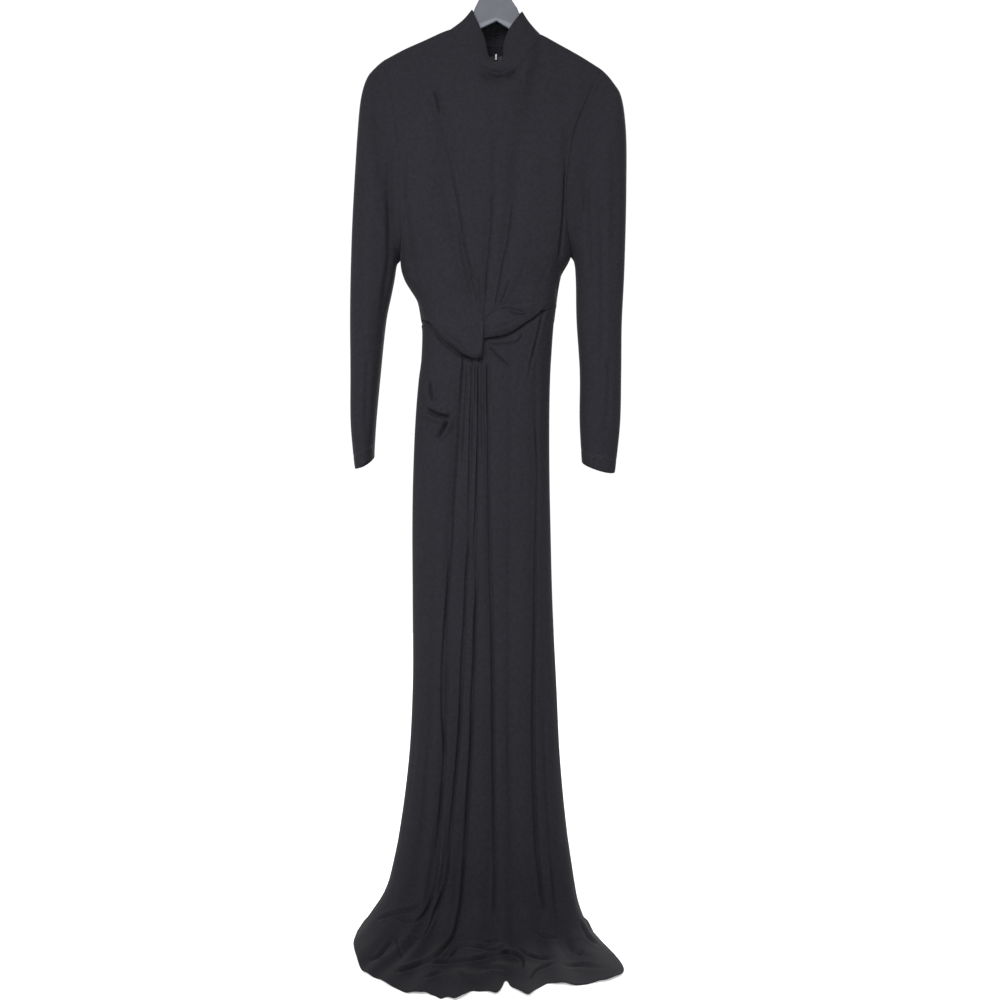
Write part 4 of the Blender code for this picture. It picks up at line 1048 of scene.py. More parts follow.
@dataclass(frozen=True)
class SpunThread:
    """Black polyester thread and nylon coil, faintly glossy and twisted."""

    name: str = "thread"
    dark: Colour = (0.012, 0.012, 0.014)
    light: Colour = (0.030, 0.030, 0.034)
    gloss: float = 0.45

    def make(self) -> Material:
        """Makes the material."""
        recipe = Recipe(self.name)
        twist = recipe.noise(recipe.stretched(recipe.place(), (3100.0, 3100.0, 1500.0)), 1.0, 2.0)
        return recipe.use(
            Base_Color=recipe.tint(self.dark, self.light, twist),
            Roughness=self.gloss + twist * 0.2,
            Normal=recipe.bump(twist, 0.03, 0.4),
        )


@dataclass(frozen=True)
class StudioPaper:
    """White studio paper."""

    name: str = "studio_paper"
    glow: float = 0.35

    def make(self) -> Material:
        """Makes the material."""
        recipe = Recipe(self.name)
        grain = recipe.noise(recipe.place(), 260.0, 3.0)
        return recipe.use(
            Base_Color=recipe.tint((0.90, 0.90, 0.90), (0.93, 0.93, 0.93), grain),
            Roughness=0.9,
            Specular_IOR_Level=0.1,
            Emission_Color=(1.0, 1.0, 1.0),
            Emission_Strength=self.glow,
        )


CHROME = Metal("hook_chrome", (0.50, 0.50, 0.52), (0.68, 0.68, 0.69), 0.1)
BURNISHED = Metal("burnished_steel", (0.03, 0.03, 0.032), (0.06, 0.06, 0.062), 0.3)
# The zip's metal is blacked, with a painted glint down the middle of its slider and tab.
ZIP_METAL = Metal("zip_metal", (0.016, 0.017, 0.019), (0.30, 0.30, 0.31), 0.3, ridge=0.0006)


@dataclass
class Finishes:
    """The finishes that the pieces take, each made once and in this order."""

    jersey: Material = field(default_factory=Jersey().make)
    plastic: Material = field(default_factory=HangerPlastic().make)
    wire: Material = field(default_factory=CHROME.make)
    burnished: Material = field(default_factory=BURNISHED.make)
    plated: Material = field(default_factory=ZIP_METAL.make)
    tape: Material = field(default_factory=WovenTape().make)
    coil: Material = field(default_factory=SpunThread("nylon_coil", gloss=0.3).make)
    thread: Material = field(default_factory=SpunThread().make)


# ---- Fitting pieces to the frame ----


@dataclass(frozen=True)
class Cut:
    """The flat piece that a sheet of cloth was cut to, in metres, and how it is held."""

    width: float
    length: float
    hold: str
    area: float | None = None


def fit(piece: Object, finish: Material, nodes: Sequence[str] = ()) -> None:
    """Gives a piece its finish, its body and the solids that it stands for.

    Args:
        piece: The piece.
        finish: Its material.
        nodes: The solids that it replaces.
    """
    piece.data.materials.clear()
    piece.data.materials.append(finish)
    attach(piece, BODY)
    if nodes:
        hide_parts(*nodes)
    LOG.info("%s: %d points", piece.name, len(piece.data.vertices))


def sew(
    name: str,
    grids: Sequence[Array],
    finish: Material,
    nodes: Sequence[str],
    wall: float = 0.9,
    around: bool = False,
) -> Object:
    """Makes a piece of cloth that stands for solids of the frame.

    Args:
        name: The piece's name.
        grids: Its surface in millimetres.
        finish: Its material.
        nodes: The solids that it replaces.
        wall: How thick it is.
        around: Whether each row is a closed ring.

    Returns:
        The piece.
    """
    piece = loft(name, grids, around)
    add_wall(piece, wall)
    fit(piece, finish, nodes)
    return piece


# ---- Creases ----

def alike(
    rows: Sequence[tuple], lip: tuple, start: float, end: float, way: Way = Way.FRONT, share: float = 1.0
) -> tuple[Crease, ...]:
    """Makes creases from rows of (line, width, depth), where the rest is the same.

    Args:
        rows: The rows.
        lip: The lips of all of them.
        start: Over what length they begin.
        end: Over what length they die away.
        way: From where they are seen.
        share: What share of its depth each has.

    Returns:
        The creases.
    """
    return tuple(Crease(line, width, share * depth, lip, start, end, way) for line, width, depth in rows)


# Large folds of the bodice front, as its solid has them
BODICE_FOLDS = alike((
    (((-92, 215), (-88, 243), (-72, 345), (-50, 471), (-25, 600)), 11, 7),
    (((-86, 350), (-82, 380), (-63, 471), (-33, 590)), 9, 5),
    (((-60, 270), (-58, 300), (-40, 440), (-22, 560)), 11, -4),
    (((-111, 270), (-110, 300), (-100, 420), (-70, 560)), 14, -4),
    (((-142, 300), (-142, 330), (-144, 408), (-135, 471), (-126, 550)), 9, 6),
    (((0, 300), (0, 330), (-6, 430), (-13, 520), (-20, 600)), 7, 5),
    (((34, 300), (34, 330), (23, 440), (5, 560)), 9, 5),
    (((12, 310), (12, 340), (6, 440), (-6, 560)), 8, -3),
    (((61, 300), (60, 330), (50, 440), (22, 560)), 14, -4),
    (((111, 270), (111, 300), (110, 408), (104, 471), (99, 545)), 8, 6),
), (0, 0), 50, 30, share=0.5)
# Creases from the shoulders and the armholes down into the twist
BODICE_CREASES = rows_of(Crease, (
    (((-98, 240), (-94, 251), (-90, 266), (-87, 280)), 1.8, 4.6, (0.3, 0.35), 9, 12),
    (((-90, 266), (-84, 300), (-71, 354), (-65, 385), (-59, 416), (-54, 446), (-50, 477), (-43, 508),
        (-36, 540), (-29, 577)), 1.7, 2.9, (0.3, 0.35), 170, 14),
    (((-62, 440), (-57, 470), (-52, 506), (-41.5, 546), (-33, 570)), 1.6, 2.2, (0.3, 0.2), 40, 12),
    (((-48, 322), (-48, 384), (-43, 431)), 2.6, 0.8, (0.2, 0.2), 40, 40),
    (((-0.5, 370), (-1, 385), (-4.5, 416), (-6, 446), (-8.5, 477), (-11, 508), (-13.4, 529),
        (-16.5, 572)), 1.5, 2.4, (0.3, 0.3), 60, 25),
    (((31, 395), (28, 416), (23.5, 446), (20, 477), (12.7, 508), (8, 535), (3, 560), (-1, 581)),
        1.6, 2.8, (0.3, 0.3), 50, 8),
    (((24, 530), (17, 553), (12, 566), (7, 578)), 1.5, 2.4, (0.2, 0.4), 18, 6),
    (((110.5, 345), (109.5, 385), (107.5, 430), (104, 470), (99.5, 510)), 2.4, 4.6, (0.2, 0.2), 40, 16),
    (((-142, 352), (-143, 383), (-143, 414), (-137, 445), (-134, 477), (-131, 508), (-128, 539)),
        2.2, 2, (0.25, 0.25), 40, 30),
    (((-112, 470), (-98, 510), (-74, 560), (-52, 598)), 3, 1, (0.2, 0.2), 50, 40),
    (((-27, 520), (-25.5, 545), (-25, 568), (-24.5, 598)), 1.4, 2.6, (0.4, 0.4), 20, 14),
    (((-34, 500), (-31, 540), (-27, 590)), 1.5, 1.8, (0.4, 0.4), 30, 10),
    (((62, 455), (50, 500), (33, 545), (20, 572)), 2.8, 0.8, (0.2, 0.2), 50, 20),
    (((-26, 213), (-9, 223), (6, 226), (24, 221), (44, 206)), 8, 8, (0, 0), 20, 24),
    (((88, 500), (74, 535), (58, 566)), 2.8, 0.7, (0.2, 0.2), 30, 25),
))
# Creases of the drape below the waist, into the twist
DRAPE_CREASES = rows_of(Crease, (
    (((-88, 610), (-81, 618), (-67, 631), (-56, 639), (-46, 650), (-33, 660)), 1.5, 1.8, (0.5, 0.4), 12, 8),
    (((-74, 615), (-62, 627), (-50, 640), (-38, 651)), 1.5, 1.2, (0.4, 0.4), 12, 8),
    (((-62, 588), (-50, 612), (-38, 634), (-28, 655)), 2, 1, (0.3, 0.3), 25, 10),
    (((-42, 590), (-35, 618), (-27, 650)), 1.7, 0.9, (0.4, 0.4), 20, 8),
))
LOOP_CREASES = rows_of(Crease, (
    (((-18, 602), (-9, 592), (2, 584), (8, 581)), 1.3, 2.2, (0.3, 0.4), 5, 6),
    (((5, 583.5), (16, 583.5), (33, 586), (50, 590)), 1.3, 2.2, (0.4, 0.5), 5, 10),
    (((14, 586), (26, 590), (38, 593), (53, 591)), 1.3, 2.2, (0.4, 0.5), 10, 8),
    (((-12, 618), (6, 613), (24, 606), (40, 597)), 2.2, 0.9, (0.3, 0.3), 12, 20),
))
SKIRT_CREASES = rows_of(Crease, (
    (((-122, 600), (-111, 604), (-100, 616), (-87, 630.5), (-77, 640), (-67, 647), (-52, 657),
        (-41.5, 662), (-31, 666)), 3.1, 9, (0.1, 0), 5, 6),
    (((-20, 631), (-16, 630), (13, 626), (27, 619), (38, 612), (48, 605), (58.5, 598), (69, 589),
        (77, 581), (86, 574)), 3.5, 7, (0, 0.1), 6, 14),
    (((-17, 637), (4, 640), (17, 638), (29, 637), (38, 631), (43, 620)), 1.9, 3.6, (0.3, 0.4), 8, 10),
    (((-12, 643), (-8, 647), (4, 658), (15, 668), (26, 676)), 1.9, 3.8, (0.4, 0.3), 6, 12),
    (((80, 580), (77, 585), (73, 594), (69, 610), (65, 627), (60, 647), (55, 668), (52, 687), (48, 708)),
        1.9, 4, (0.3, 0.3), 8, 60),
    (((-105, 694), (-102.5, 712), (-100, 730)), 2.7, 8, (0.2, 0.4), 10, 8),
    (((-112, 740), (-103, 744), (-92, 749), (-80, 752), (-70, 751)), 3.4, 10.5, (0.5, 0.4), 10, 8),
    (((-98, 738), (-84, 742), (-72, 741)), 2, 2.4, (0.4, 0.4), 12, 10),
    (((-74, 755), (-79, 766), (-86, 778), (-94, 790)), 2.7, 9, (0.3, 0.5), 7, 12),
    (((-66, 662), (-70, 695), (-72, 726), (-75, 755)), 1.3, 1.6, (0.2, 0.3), 10, 20),
    (((-50, 654), (-52, 674), (-54, 705), (-56, 747), (-60, 800), (-66, 883), (-69, 946), (-74, 1009),
        (-79, 1072), (-84, 1151), (-84, 1220), (-79, 1294), (-85, 1357), (-89, 1421), (-94, 1480)),
        1.6, 3, (0.35, 0.3), 8, 40, Way.FRONT, 0.6),
    (((-57, 740), (-60, 800), (-66, 883), (-69, 946), (-73, 1009), (-77, 1060)), 1.7, 1.8, (0.2, 0.1),
        60, 80),
    (((-47, 666), (-46, 690), (-49, 747), (-52, 800), (-55, 850)), 1.25, 2.2, (0.4, 0.4), 8, 60),
    (((-39, 668), (-38, 700), (-40.5, 767), (-42, 850), (-43, 910)), 1.3, 2.4, (0.4, 0.4), 8, 60),
    (((-28, 672), (-27.5, 726), (-27, 767), (-29, 820), (-31, 883), (-34, 946), (-38, 990)),
        1.4, 1.9, (0.3, 0.3), 8, 60),
    (((-40, 930), (-44, 975), (-47, 1008), (-49, 1071), (-53, 1135), (-55, 1198), (-58, 1261),
        (-63, 1325), (-68, 1388), (-74, 1452), (-77, 1480)), 1.7, 2.8, (0.3, 0.35), 60, 40, Way.FRONT, 0.5),
    (((-27, 960), (-28, 1008), (-33, 1071), (-34.5, 1135), (-38, 1198), (-39, 1261), (-42.5, 1325),
        (-46, 1388), (-49, 1452), (-51, 1480)), 1.8, 3, (0.35, 0.3), 60, 40, Way.FRONT, 0.4),
    (((-13.4, 670), (-14.4, 700), (-13.8, 740), (-11.3, 767), (-11, 820), (-9, 945), (-6, 1071),
        (-5, 1198), (-3, 1357), (-1.5, 1480)), 1.45, 1.7, (0.35, 0.35), 8, 60, Way.FRONT, 0.5),
    (((18, 1230), (20, 1290), (22, 1340), (24, 1400)), 1.8, 1, (0.3, 0.3), 40, 40),
    (((61, 735), (62, 760), (64.5, 810), (66, 851), (63, 977), (60, 1136), (58.5, 1231), (61, 1358),
        (65, 1454), (68, 1480)), 1.7, 2.4, (0.3, 0.35), 50, 40, Way.FRONT, 0.5),
    (((75, 1240), (77, 1300), (81, 1380), (86, 1454), (88, 1480)), 1.7, 1.7, (0.3, 0.3), 50, 40),
))
# Fine gathers that run down from the twist: where each starts, how far it leans, where it ends
GATHERS = tuple(
    Crease(((x, 664), (x + 0.4 * lean, (664 + end) / 2), (x + lean, end)), 1.1, deep, (0.5, 0.5), 8, 70)
    for x, lean, end, deep in (
        (-43.5, -6, 800, 1.3), (-35.5, -3, 840, 1.5), (-32, -2, 780, 1.1),
        (-22.8, 1, 850, 1.5), (-19.7, 3, 790, 1.2), (-9.2, 6, 780, 1.2), (-3, 10, 760, 0.8),
    )
)
TWIST_HOLE = Crease(((-28, 659), (-22, 663), (-16, 667)), 5, 11, (0, 0), 5, 6)
POOL_CREASES = tuple(
    Crease(line, 1.1 * width, 1.25 * depth, (0.35, 0.35), start, 16, Way.LOW)
    for start, width, depth, line in (
        (40, 2, 3.4, ((-88, 1385), (-91, 1405), (-97, 1444), (-107, 1474), (-122, 1492), (-142, 1493),
            (-158, 1484))),
        (40, 2.1, 4, ((-72, 1378), (-76, 1425), (-87, 1459), (-102, 1494), (-113, 1515), (-128, 1521))),
        (40, 2.3, 5, ((-48, 1385), (-50, 1409), (-54, 1459), (-59, 1490), (-66, 1517), (-75, 1530),
            (-89, 1545), (-106, 1555), (-131, 1565), (-150, 1569))),
        (40, 2, 2.2, ((-2, 1390), (-1.6, 1417), (-2, 1447), (-4, 1490))),
        (40, 2, 3.4, ((65, 1385), (67, 1408), (71, 1447), (77, 1484))),
        (10, 2.2, 3.6, ((62, 1509), (78, 1518), (103, 1517))),
        (30, 1.9, 3.2, ((86, 1390), (91, 1447), (95, 1478), (99, 1501), (109, 1526), (119, 1539),
            (144, 1550))),
        (14, 2.2, 3.4, ((131, 1488), (137, 1505), (144, 1518), (162, 1531))),
        (14, 2.1, 3.8, ((-190, 1489), (-171, 1484), (-151, 1478), (-131, 1475), (-114, 1463))),
        (12, 2, 3, ((-182, 1554), (-160, 1520), (-154, 1512))),
        (8, 1.8, 2.4, ((-157, 1514), (-146, 1540), (-141, 1557))),
        (10, 1.9, 4.4, ((-71, 1552), (-58, 1535), (-42, 1531), (-23, 1534), (-8, 1538), (6, 1536),
            (15, 1526))),
        (14, 1.9, 4.2, ((-104, 1556), (-76, 1556), (-45, 1553), (-15, 1548), (11, 1542), (30, 1544),
            (41, 1555), (35, 1571))),
        (8, 1.8, 3.4, ((-18, 1526), (0, 1523), (12, 1526))),
        (12, 1.8, 2.6, ((32, 1533), (53, 1547), (90, 1552))),
        (8, 1.8, 3, ((48, 1583), (62, 1567), (90, 1556))),
        (8, 1.8, 2.6, ((-78, 1569), (-99, 1576), (-108, 1582))),
        (10, 2, 2.2, ((-20, 1566), (0, 1563), (18, 1567))),
        (10, 2, 2.4, ((100, 1562), (128, 1560), (160, 1566))),
        (12, 2, 2.2, ((-168, 1540), (-186, 1551), (-198, 1556))),
        (12, 2, 2.4, ((-60, 1568), (-45, 1577), (-38, 1590))),
    )
)
BACK_CREASES = alike((
    (((-105, 640), (-98, 780), (-94, 950), (-98, 1150), (-108, 1330), (-122, 1500)), 4.4, 2.6),
    (((-66, 700), (-60, 850), (-58, 1050), (-63, 1250), (-74, 1440)), 4, 2.2),
    (((-38, 780), (-40, 900), (-38, 1080), (-44, 1280), (-52, 1500)), 4.2, 2.6),
    (((8, 790), (10, 960), (8, 1180), (4, 1380), (2, 1510)), 4, 2.4),
    (((34, 690), (36, 830), (38, 1010), (36, 1230), (40, 1420)), 4.2, 2.2),
    (((66, 640), (62, 800), (64, 1010), (70, 1230), (82, 1490)), 4.4, 2.6),
), (0.3, 0.3), 50, 50, Way.BACK)
BODICE_BACK_CREASES = alike((
    (((-128, 330), (-116, 400), (-98, 480), (-76, 560)), 5, 2.6),
    (((-142, 380), (-134, 450), (-122, 520), (-112, 570)), 4, 2.2),
    (((-78, 300), (-74, 380), (-64, 460), (-52, 540)), 6, 1.6),
    (((-40, 420), (-38, 480), (-34, 560)), 4, 1.4),
    (((96, 330), (88, 400), (72, 480), (56, 560)), 5, 2.6),
    (((104, 400), (98, 460), (92, 520), (84, 570)), 4, 2),
    (((58, 300), (54, 390), (44, 470), (36, 540)), 6, 1.6),
    (((22, 430), (20, 500), (18, 570)), 4, 1.3),
), (0.25, 0.25), 45, 45, Way.BACK)
LEFT_SLEEVE_CREASES = rows_of(Crease, (
    (((-164, 305), (-167, 350), (-167, 400), (-167, 450), (-168, 505), (-174, 545), (-182, 605)),
        4.2, 2.8, (0.3, 0.3), 50, 50),
    (((-206, 330), (-210, 420), (-212, 540), (-211, 650)), 5.5, 1.6, (0.3, 0.3), 70, 70),
    (((-200, 640), (-204, 720), (-206, 790)), 4, 1.5, (0.3, 0.3), 40, 40),
    (((-180, 320), (-186, 420), (-192, 540), (-200, 660)), 5, 2.4, (0.3, 0.3), 70, 70, Way.BACK),
    (((-210, 300), (-214, 420), (-216, 560)), 5, 1.8, (0.3, 0.3), 70, 70, Way.BACK),
))
RIGHT_SLEEVE_CREASES = rows_of(Crease, (
    (((160, 380), (164, 412), (168, 553), (166, 700)), 4.4, 1.8, (0.3, 0.3), 60, 60),
    (((143, 330), (141, 400), (146, 480), (150, 560)), 4, 2, (0.3, 0.3), 50, 60),
    (((184, 300), (186, 400), (184, 520)), 5, 1.4, (0.3, 0.3), 70, 70),
    (((180, 640), (178, 720), (172, 790)), 4, 1.5, (0.3, 0.3), 40, 40),
    (((158, 320), (160, 420), (164, 560), (166, 680)), 5, 2.4, (0.3, 0.3), 70, 70, Way.BACK),
    (((186, 300), (188, 420), (184, 560)), 5, 1.8, (0.3, 0.3), 70, 70, Way.BACK),
))


# ---- The dress ----


@dataclass
class Skirt:
    """The skirt: a front and two backs, down to the hem that pools on the floor."""

    finish: Material
    columns: int = 224
    back_columns: int = 84
    top_rows: int = 76
    long_rows: int = 52
    pool_rows: int = 93
    knee: int = 2
    fine_steps: int = 3000
    front_cut: Cut = Cut(1.04, 1.2, "draped", 0.42)
    back_cut: Cut = Cut(0.29, 1.03, "draped", 0.157)

    def _places(self, folds: Sequence[Fold], count: int, low: float, high: float) -> Array:
        """Spreads columns over the fold lines, closer together towards the side seams."""
        fine = np.linspace(low, high, self.fine_steps)
        much, width = SEAM_COLUMNS
        dense = 1 + much * bell(np.minimum(fine, 1 - fine), width)
        if low == 0.0 and high == 1.0:
            much, place, width = TWIST_COLUMNS
            dense = dense + much * bell(fine - place, width)
        run = np.concatenate([[0.0], np.cumsum((dense[1:] + dense[:-1]) / 2)])
        share = np.interp(np.linspace(0, run[-1], count), run, fine)
        lines = np.array([fold.shares[self.knee] for fold in folds])
        places = np.arange(len(folds), dtype=float)
        if lines[0] > lines[-1]:
            return np.interp(share[::-1], lines[::-1], places[::-1])
        return np.interp(share, lines, places)

    def _pool(self, folds: Sequence[Fold], places: Array, side: str) -> Array:
        """Gives the rows of the pooled hem."""
        at = np.linspace(0, len(POOL_ROWS) - 1, self.pool_rows)[1:]
        steps, lines = np.arange(len(POOL_ROWS)), np.arange(len(folds))
        out, flare_out, height, lift = (
            smooth(steps, column(POOL_ROWS, name), at)[:, None] for name in PoolRow._fields[:4]
        )
        start = FORM.surface(folds, places, np.full(len(places), BREAK_DROP), side)
        hem_x, hem_y, flare = (
            smooth(lines, column(folds, name), places) for name in ("hem_x", "hem_y", "flare")
        )
        index = np.clip(places.astype(int), 0, len(folds) - 2)
        lifts = column(folds, "lift")
        crest, trough, into = FORM.ridge(lifts[index], lifts[index + 1], places - index)
        rise = POOL_LIFT * mix(crest, trough, ease(into)) * lift
        reach = mix(out, flare_out, flare)
        x, y = mix(start[:, 0], hem_x, reach), mix(start[:, 1], hem_y, reach)
        if side == "front":
            wander = sum(
                share * POOL_WANDER * np.sin(x / length + shift) for share, length, shift in POOL_WAVES
            )
            roll = smooth(steps, column(POOL_ROWS, "roll"), at[:, None] + wander)
            rise = rise + POOL_ROLL * roll * bell(x - ROLL_CENTRE, ROLL_REACH)
            for place, pull, width in HEM_NOTCHES:
                y = y + pull * bell(x - place, width) * out**NOTCH_POWER
        tall = POOL_GROUND + (FLOOR - BREAK_DROP - POOL_GROUND) * height + rise
        tall = tall + POOL_REST * (1 - out**SINK_POWER) * lift
        return np.stack([x, y, tall - FLOOR], axis=-1)

    def _panel(self, folds: Sequence[Fold], places: Array, side: str) -> Array:
        """Gives a panel, from its upper edge to the hem."""
        share = FORM.fold(folds, places, np.full(len(places), FOLD_LEVELS[0]))[0]
        if side == "front":
            start = read(SKIRT_TOP, "share", "drop", share)
        else:
            start = np.full(len(places), WAIST_DROP)
        top = mix(start, HIP_DROP, np.linspace(0, 1, self.top_rows)[:, None])
        long = np.linspace(HIP_DROP, BREAK_DROP, self.long_rows)[1:, None] + 0 * start
        drop = np.concatenate([top, long])
        points = FORM.surface(folds, np.broadcast_to(places, drop.shape), drop, side)
        points = np.concatenate([points, self._pool(folds, places, side)])
        join = self.top_rows + self.long_rows - 1
        low, high = join - BREAK_REACH, join + BREAK_REACH
        for _ in range(BREAK_PASSES):
            points[low:high] = evened(points[low - 1 : high + 1])
        return points

    def _front(self) -> Object:
        """Makes the front."""
        places = self._places(FRONT_FOLDS, self.columns, 0.0, 1.0)
        points = self._panel(FRONT_FOLDS, places, "front")
        out = normals_of(points)
        free = held(points, SEAM_HOLD, "lr")
        points = creased(points, out, SKIRT_CREASES + GATHERS, free)
        points = creased(points, out, (TWIST_HOLE,), np.ones_like(free))
        points = creased(points, out, POOL_CREASES, free * held(points, HEM_HOLD, "b"))
        points = moved(points, out, unevenness(points, size=0.5, seed=0.4) * free)
        points[..., 2] = np.maximum(points[..., 2], FLOOR_GAP - FLOOR)
        tuck = onset(points[..., 0], *TOP_TUCKING_X)
        tucked = edge_roll(points, *SEAM_TUCK, "lr") + edge_roll(points, *TOP_TUCK, "t") * tuck
        points = moved(points, out, -tucked)
        return sew("skirt_front_cloth", [points], self.finish, ["skirt_front"])

    def _back(self, name: str, folds: Sequence[Fold], seed: float) -> Object:
        """Makes one half of the back."""
        left = folds is BACK_LEFT_FOLDS
        places = self._places(folds, self.back_columns, 0.0 if left else 0.5, 0.5 if left else 1.0)
        points = self._panel(folds, places, "back")
        across = travelled(points, 1)
        inward = across if left else across[:, -1:] - across
        drop = -points[..., 2]
        gap = mix(ZIP_HALF_GAP, -SEAM_LAP, onset(drop, *GAP_CLOSING))
        points[..., 0] += (-1 if left else 1) * gap * np.clip(1 - inward / GAP_REACH, 0, 1)
        outward = across[:, -1:] - inward
        beside = np.clip(1 - outward / SIDE_LAP_REACH, 0, 1)
        points[..., 1] -= SIDE_LAP * onset(drop, *SIDE_LAPPING) * beside
        out = normals_of(points)
        free = held(points, SEAM_HOLD, "lr") * held(points, BACK_HOLD, "t")
        points = creased(points, out, BACK_CREASES, free * (points[..., 2] > CREASE_FLOOR - FLOOR))
        points = moved(points, out, unevenness(points, size=0.6, seed=seed) * free)
        points = moved(points, out, -edge_roll(points, *SEAM_TUCK, "tlr"))
        return sew(f"{name}_cloth", [points], self.finish, [name])

    def build(self) -> None:
        """Makes the three panels."""
        self._front()
        self._back("skirt_back_left", BACK_LEFT_FOLDS, 2.2)
        self._back("skirt_back_right", BACK_RIGHT_FOLDS, 3.9)


@dataclass
class Bodice:
    """The bodice: a front that is slit up from the twist, and two backs."""

    finish: Material
    columns: int = 112
    back_columns: int = 84
    step: float = 2.1
    right_half: Array | None = None
    front_cut: Cut = Cut(0.46, 0.52, "hung", 0.137)
    back_cut: Cut = Cut(0.2, 0.47, "hung", 0.064)

    def _upper_edge(self, half: Half, side: str, tip: tuple, shares: Array) -> Array:
        """Gives the upper edge of a panel: along the neck, then over the shoulder.

        Args:
            half: The half of the bodice.
            side: "front" or "back".
            tip: The top of the armhole.
            shares: Where the panel's columns are, from 0 at the middle to 1.

        Returns:
            A point for each column.
        """
        lines, forward = half.collar[side], -1 if side == "front" else 1
        neck = along([line[:3] for line in lines], np.minimum(shares / NECK_SHARE, 1.0))
        neck[:, 2] += 2 * SEAM
        neck[:, 1] = forward * np.maximum(np.abs(neck[:, 1]), SHOULDER_SEAM)
        end = (lines[-1].base_x, forward * SHOULDER_SEAM, lines[-1].base_drop + 2 * SEAM)
        seam = [end] + [(x, forward * SHOULDER_SEAM, drop) for x, drop in half.shoulder] + [tip]
        over = along(seam, np.clip((shares - NECK_SHARE) / (1 - NECK_SHARE), 0, 1))
        return np.where((shares > NECK_SHARE)[:, None], over, neck)

    def _panel(self, half: Half, side: str, line: tuple, shares: Array) -> Array:
        """Gives a panel, from the middle line out to the armhole and side seam."""
        forward = -1 if side == "front" else 1
        edge = [(hole.x, forward * getattr(hole, side), hole.drop) for hole in half.armhole]
        edge += [(x, forward * 2 * SEAM, drop) for x, drop in half.seams[side]]
        top = self._upper_edge(half, side, edge[0], shares)
        bend = round_off(shares, BODICE_SQUARE)
        over = onset(shares, *ROLLING)

        def between(start: Line, end: tuple) -> Array:
            return np.stack(
                [mix(start.x, end[0], shares), mix(end[1], start.y, bend), mix(start.drop, end[2], shares)],
                axis=-1,
            )

        lead = top - between(line[0], edge[0])
        rows = []
        for number, (start, end) in enumerate(zip(line, edge)):
            row = between(start, end) + start.neck * lead
            if number == 1:
                row = top.copy()
                near, down = (mix(neck, shoulder, over) for neck, shoulder in zip(NECK_ROLL, SHOULDER_ROLL))
                row[:, 1] += forward * near
                row[:, 2] += down
            rows.append(row)
        keys = [point.drop for point in line]
        points = smooth(keys, np.array(rows), spread(keys, self.step))
        points[..., 2] *= -1
        return self._rounded(points, shares)

    @staticmethod
    def _rounded(points: Array, shares: Array) -> Array:
        """Rounds off the fold that hangs from the corner between neck and shoulder."""
        corner = int(np.searchsorted(shares, NECK_SHARE))
        below = onset(travelled(points, 0)[:, corner], *ROUNDING)[:, None]
        near = points[:, corner - ROUND_REACH : corner + ROUND_REACH + 1].transpose(1, 0, 2)
        for _ in range(ROUND_PASSES):
            near[1:-1] = mix(near[1:-1], evened(near), below)
        return points

    def _shares(self, count: int) -> Array:
        """Spreads columns over half of the bodice, closer together towards the armhole."""
        step = np.linspace(0, 1, count)
        return ARM_COLUMNS * np.sin(math.pi * step / 2) + (1 - ARM_COLUMNS) * step

    def _sag(self, points: Array, shares: Array) -> Array:
        """Gives how far the drape hangs below a straight line towards its lower edge."""
        hang = smooth([share for share, _ in DRAPE_SAG], [hang for _, hang in DRAPE_SAG], shares)
        return hang * onset(-points[..., 2], *SAGGING)

    def _lap(self, points: Array) -> Array:
        """Lays the lower end of the drape on the skirt."""
        drop = -points[..., 2]
        left = FORM.sides(drop)[0]
        stand = FORM.front_depth(points[..., 0], drop) + LAP * onset(points[..., 0], left, LAP_REACH)
        over = np.minimum(points[..., 1], -stand)
        points[..., 1] = mix(points[..., 1], over, onset(drop, *LAPPING))
        return points

    def _melt(self, points: Array) -> Array:
        """Brings the right half flush with the skirt towards the side seam."""
        last = np.clip(1 - (len(points) - 1 - np.arange(len(points))) / MELT_ROWS, 0, 1)[:, None]
        points[..., 2] -= MELT_DIP * last * onset(points[..., 0], *DIPPING_X)
        drop = -points[..., 2]
        stand = FORM.front_depth(points[..., 0], drop) + mix(*MELT_STAND, last)
        share = onset(drop, *MELTING) * onset(points[..., 0], *MELTING_X)
        points[..., 1] = mix(points[..., 1], -stand, share)
        return points

    def _press(self, points: Array, near: Array, shared: int, leftward: bool) -> Array:
        """Presses the creases into a half of the front and turns its edges in.

        Args:
            points: The half's grid, from the middle out.
            near: How near each column is to the middle.
            shared: How many of its rows are above the slit.
            leftward: Whether it is the left half.

        Returns:
            The half's grid, from left to right.
        """
        if leftward:
            points, near = points[:, ::-1], near[:, ::-1]
        seam = "l" if leftward else "r"
        out = normals_of(points)
        above = ease((shared + SLIT_ROWS - np.arange(len(points))) / SLIT_FADE)[:, None, None]
        out = mix(out, np.broadcast_to((0.0, -1.0, 0.0), out.shape), near * above)
        free = held(points, SEAM_HOLD, "t") * held(points, SLEEVE_HOLD, seam)
        creases = BODICE_FOLDS + BODICE_CREASES + (DRAPE_CREASES if leftward else ())
        points = creased(points, out, creases, free)
        points = moved(points, out, unevenness(points, size=0.5, seed=1.7) * free)
        points = moved(points, out, -edge_roll(points, *NECK_TUCK, "t" + seam))
        slit = onset(-points[..., 2], *SLITTING)
        if leftward:
            turned = edge_roll(points, *SLIT_TUCK, "r") + edge_roll(points, *DRAPE_TUCK, "b")
        else:
            turned = edge_roll(points, *LOOP_TUCK, "b") * (points[..., 0] < LOOP_SIDE)
        return moved(points, out, -turned * held(points, SEAM_HOLD, seam) * slit)

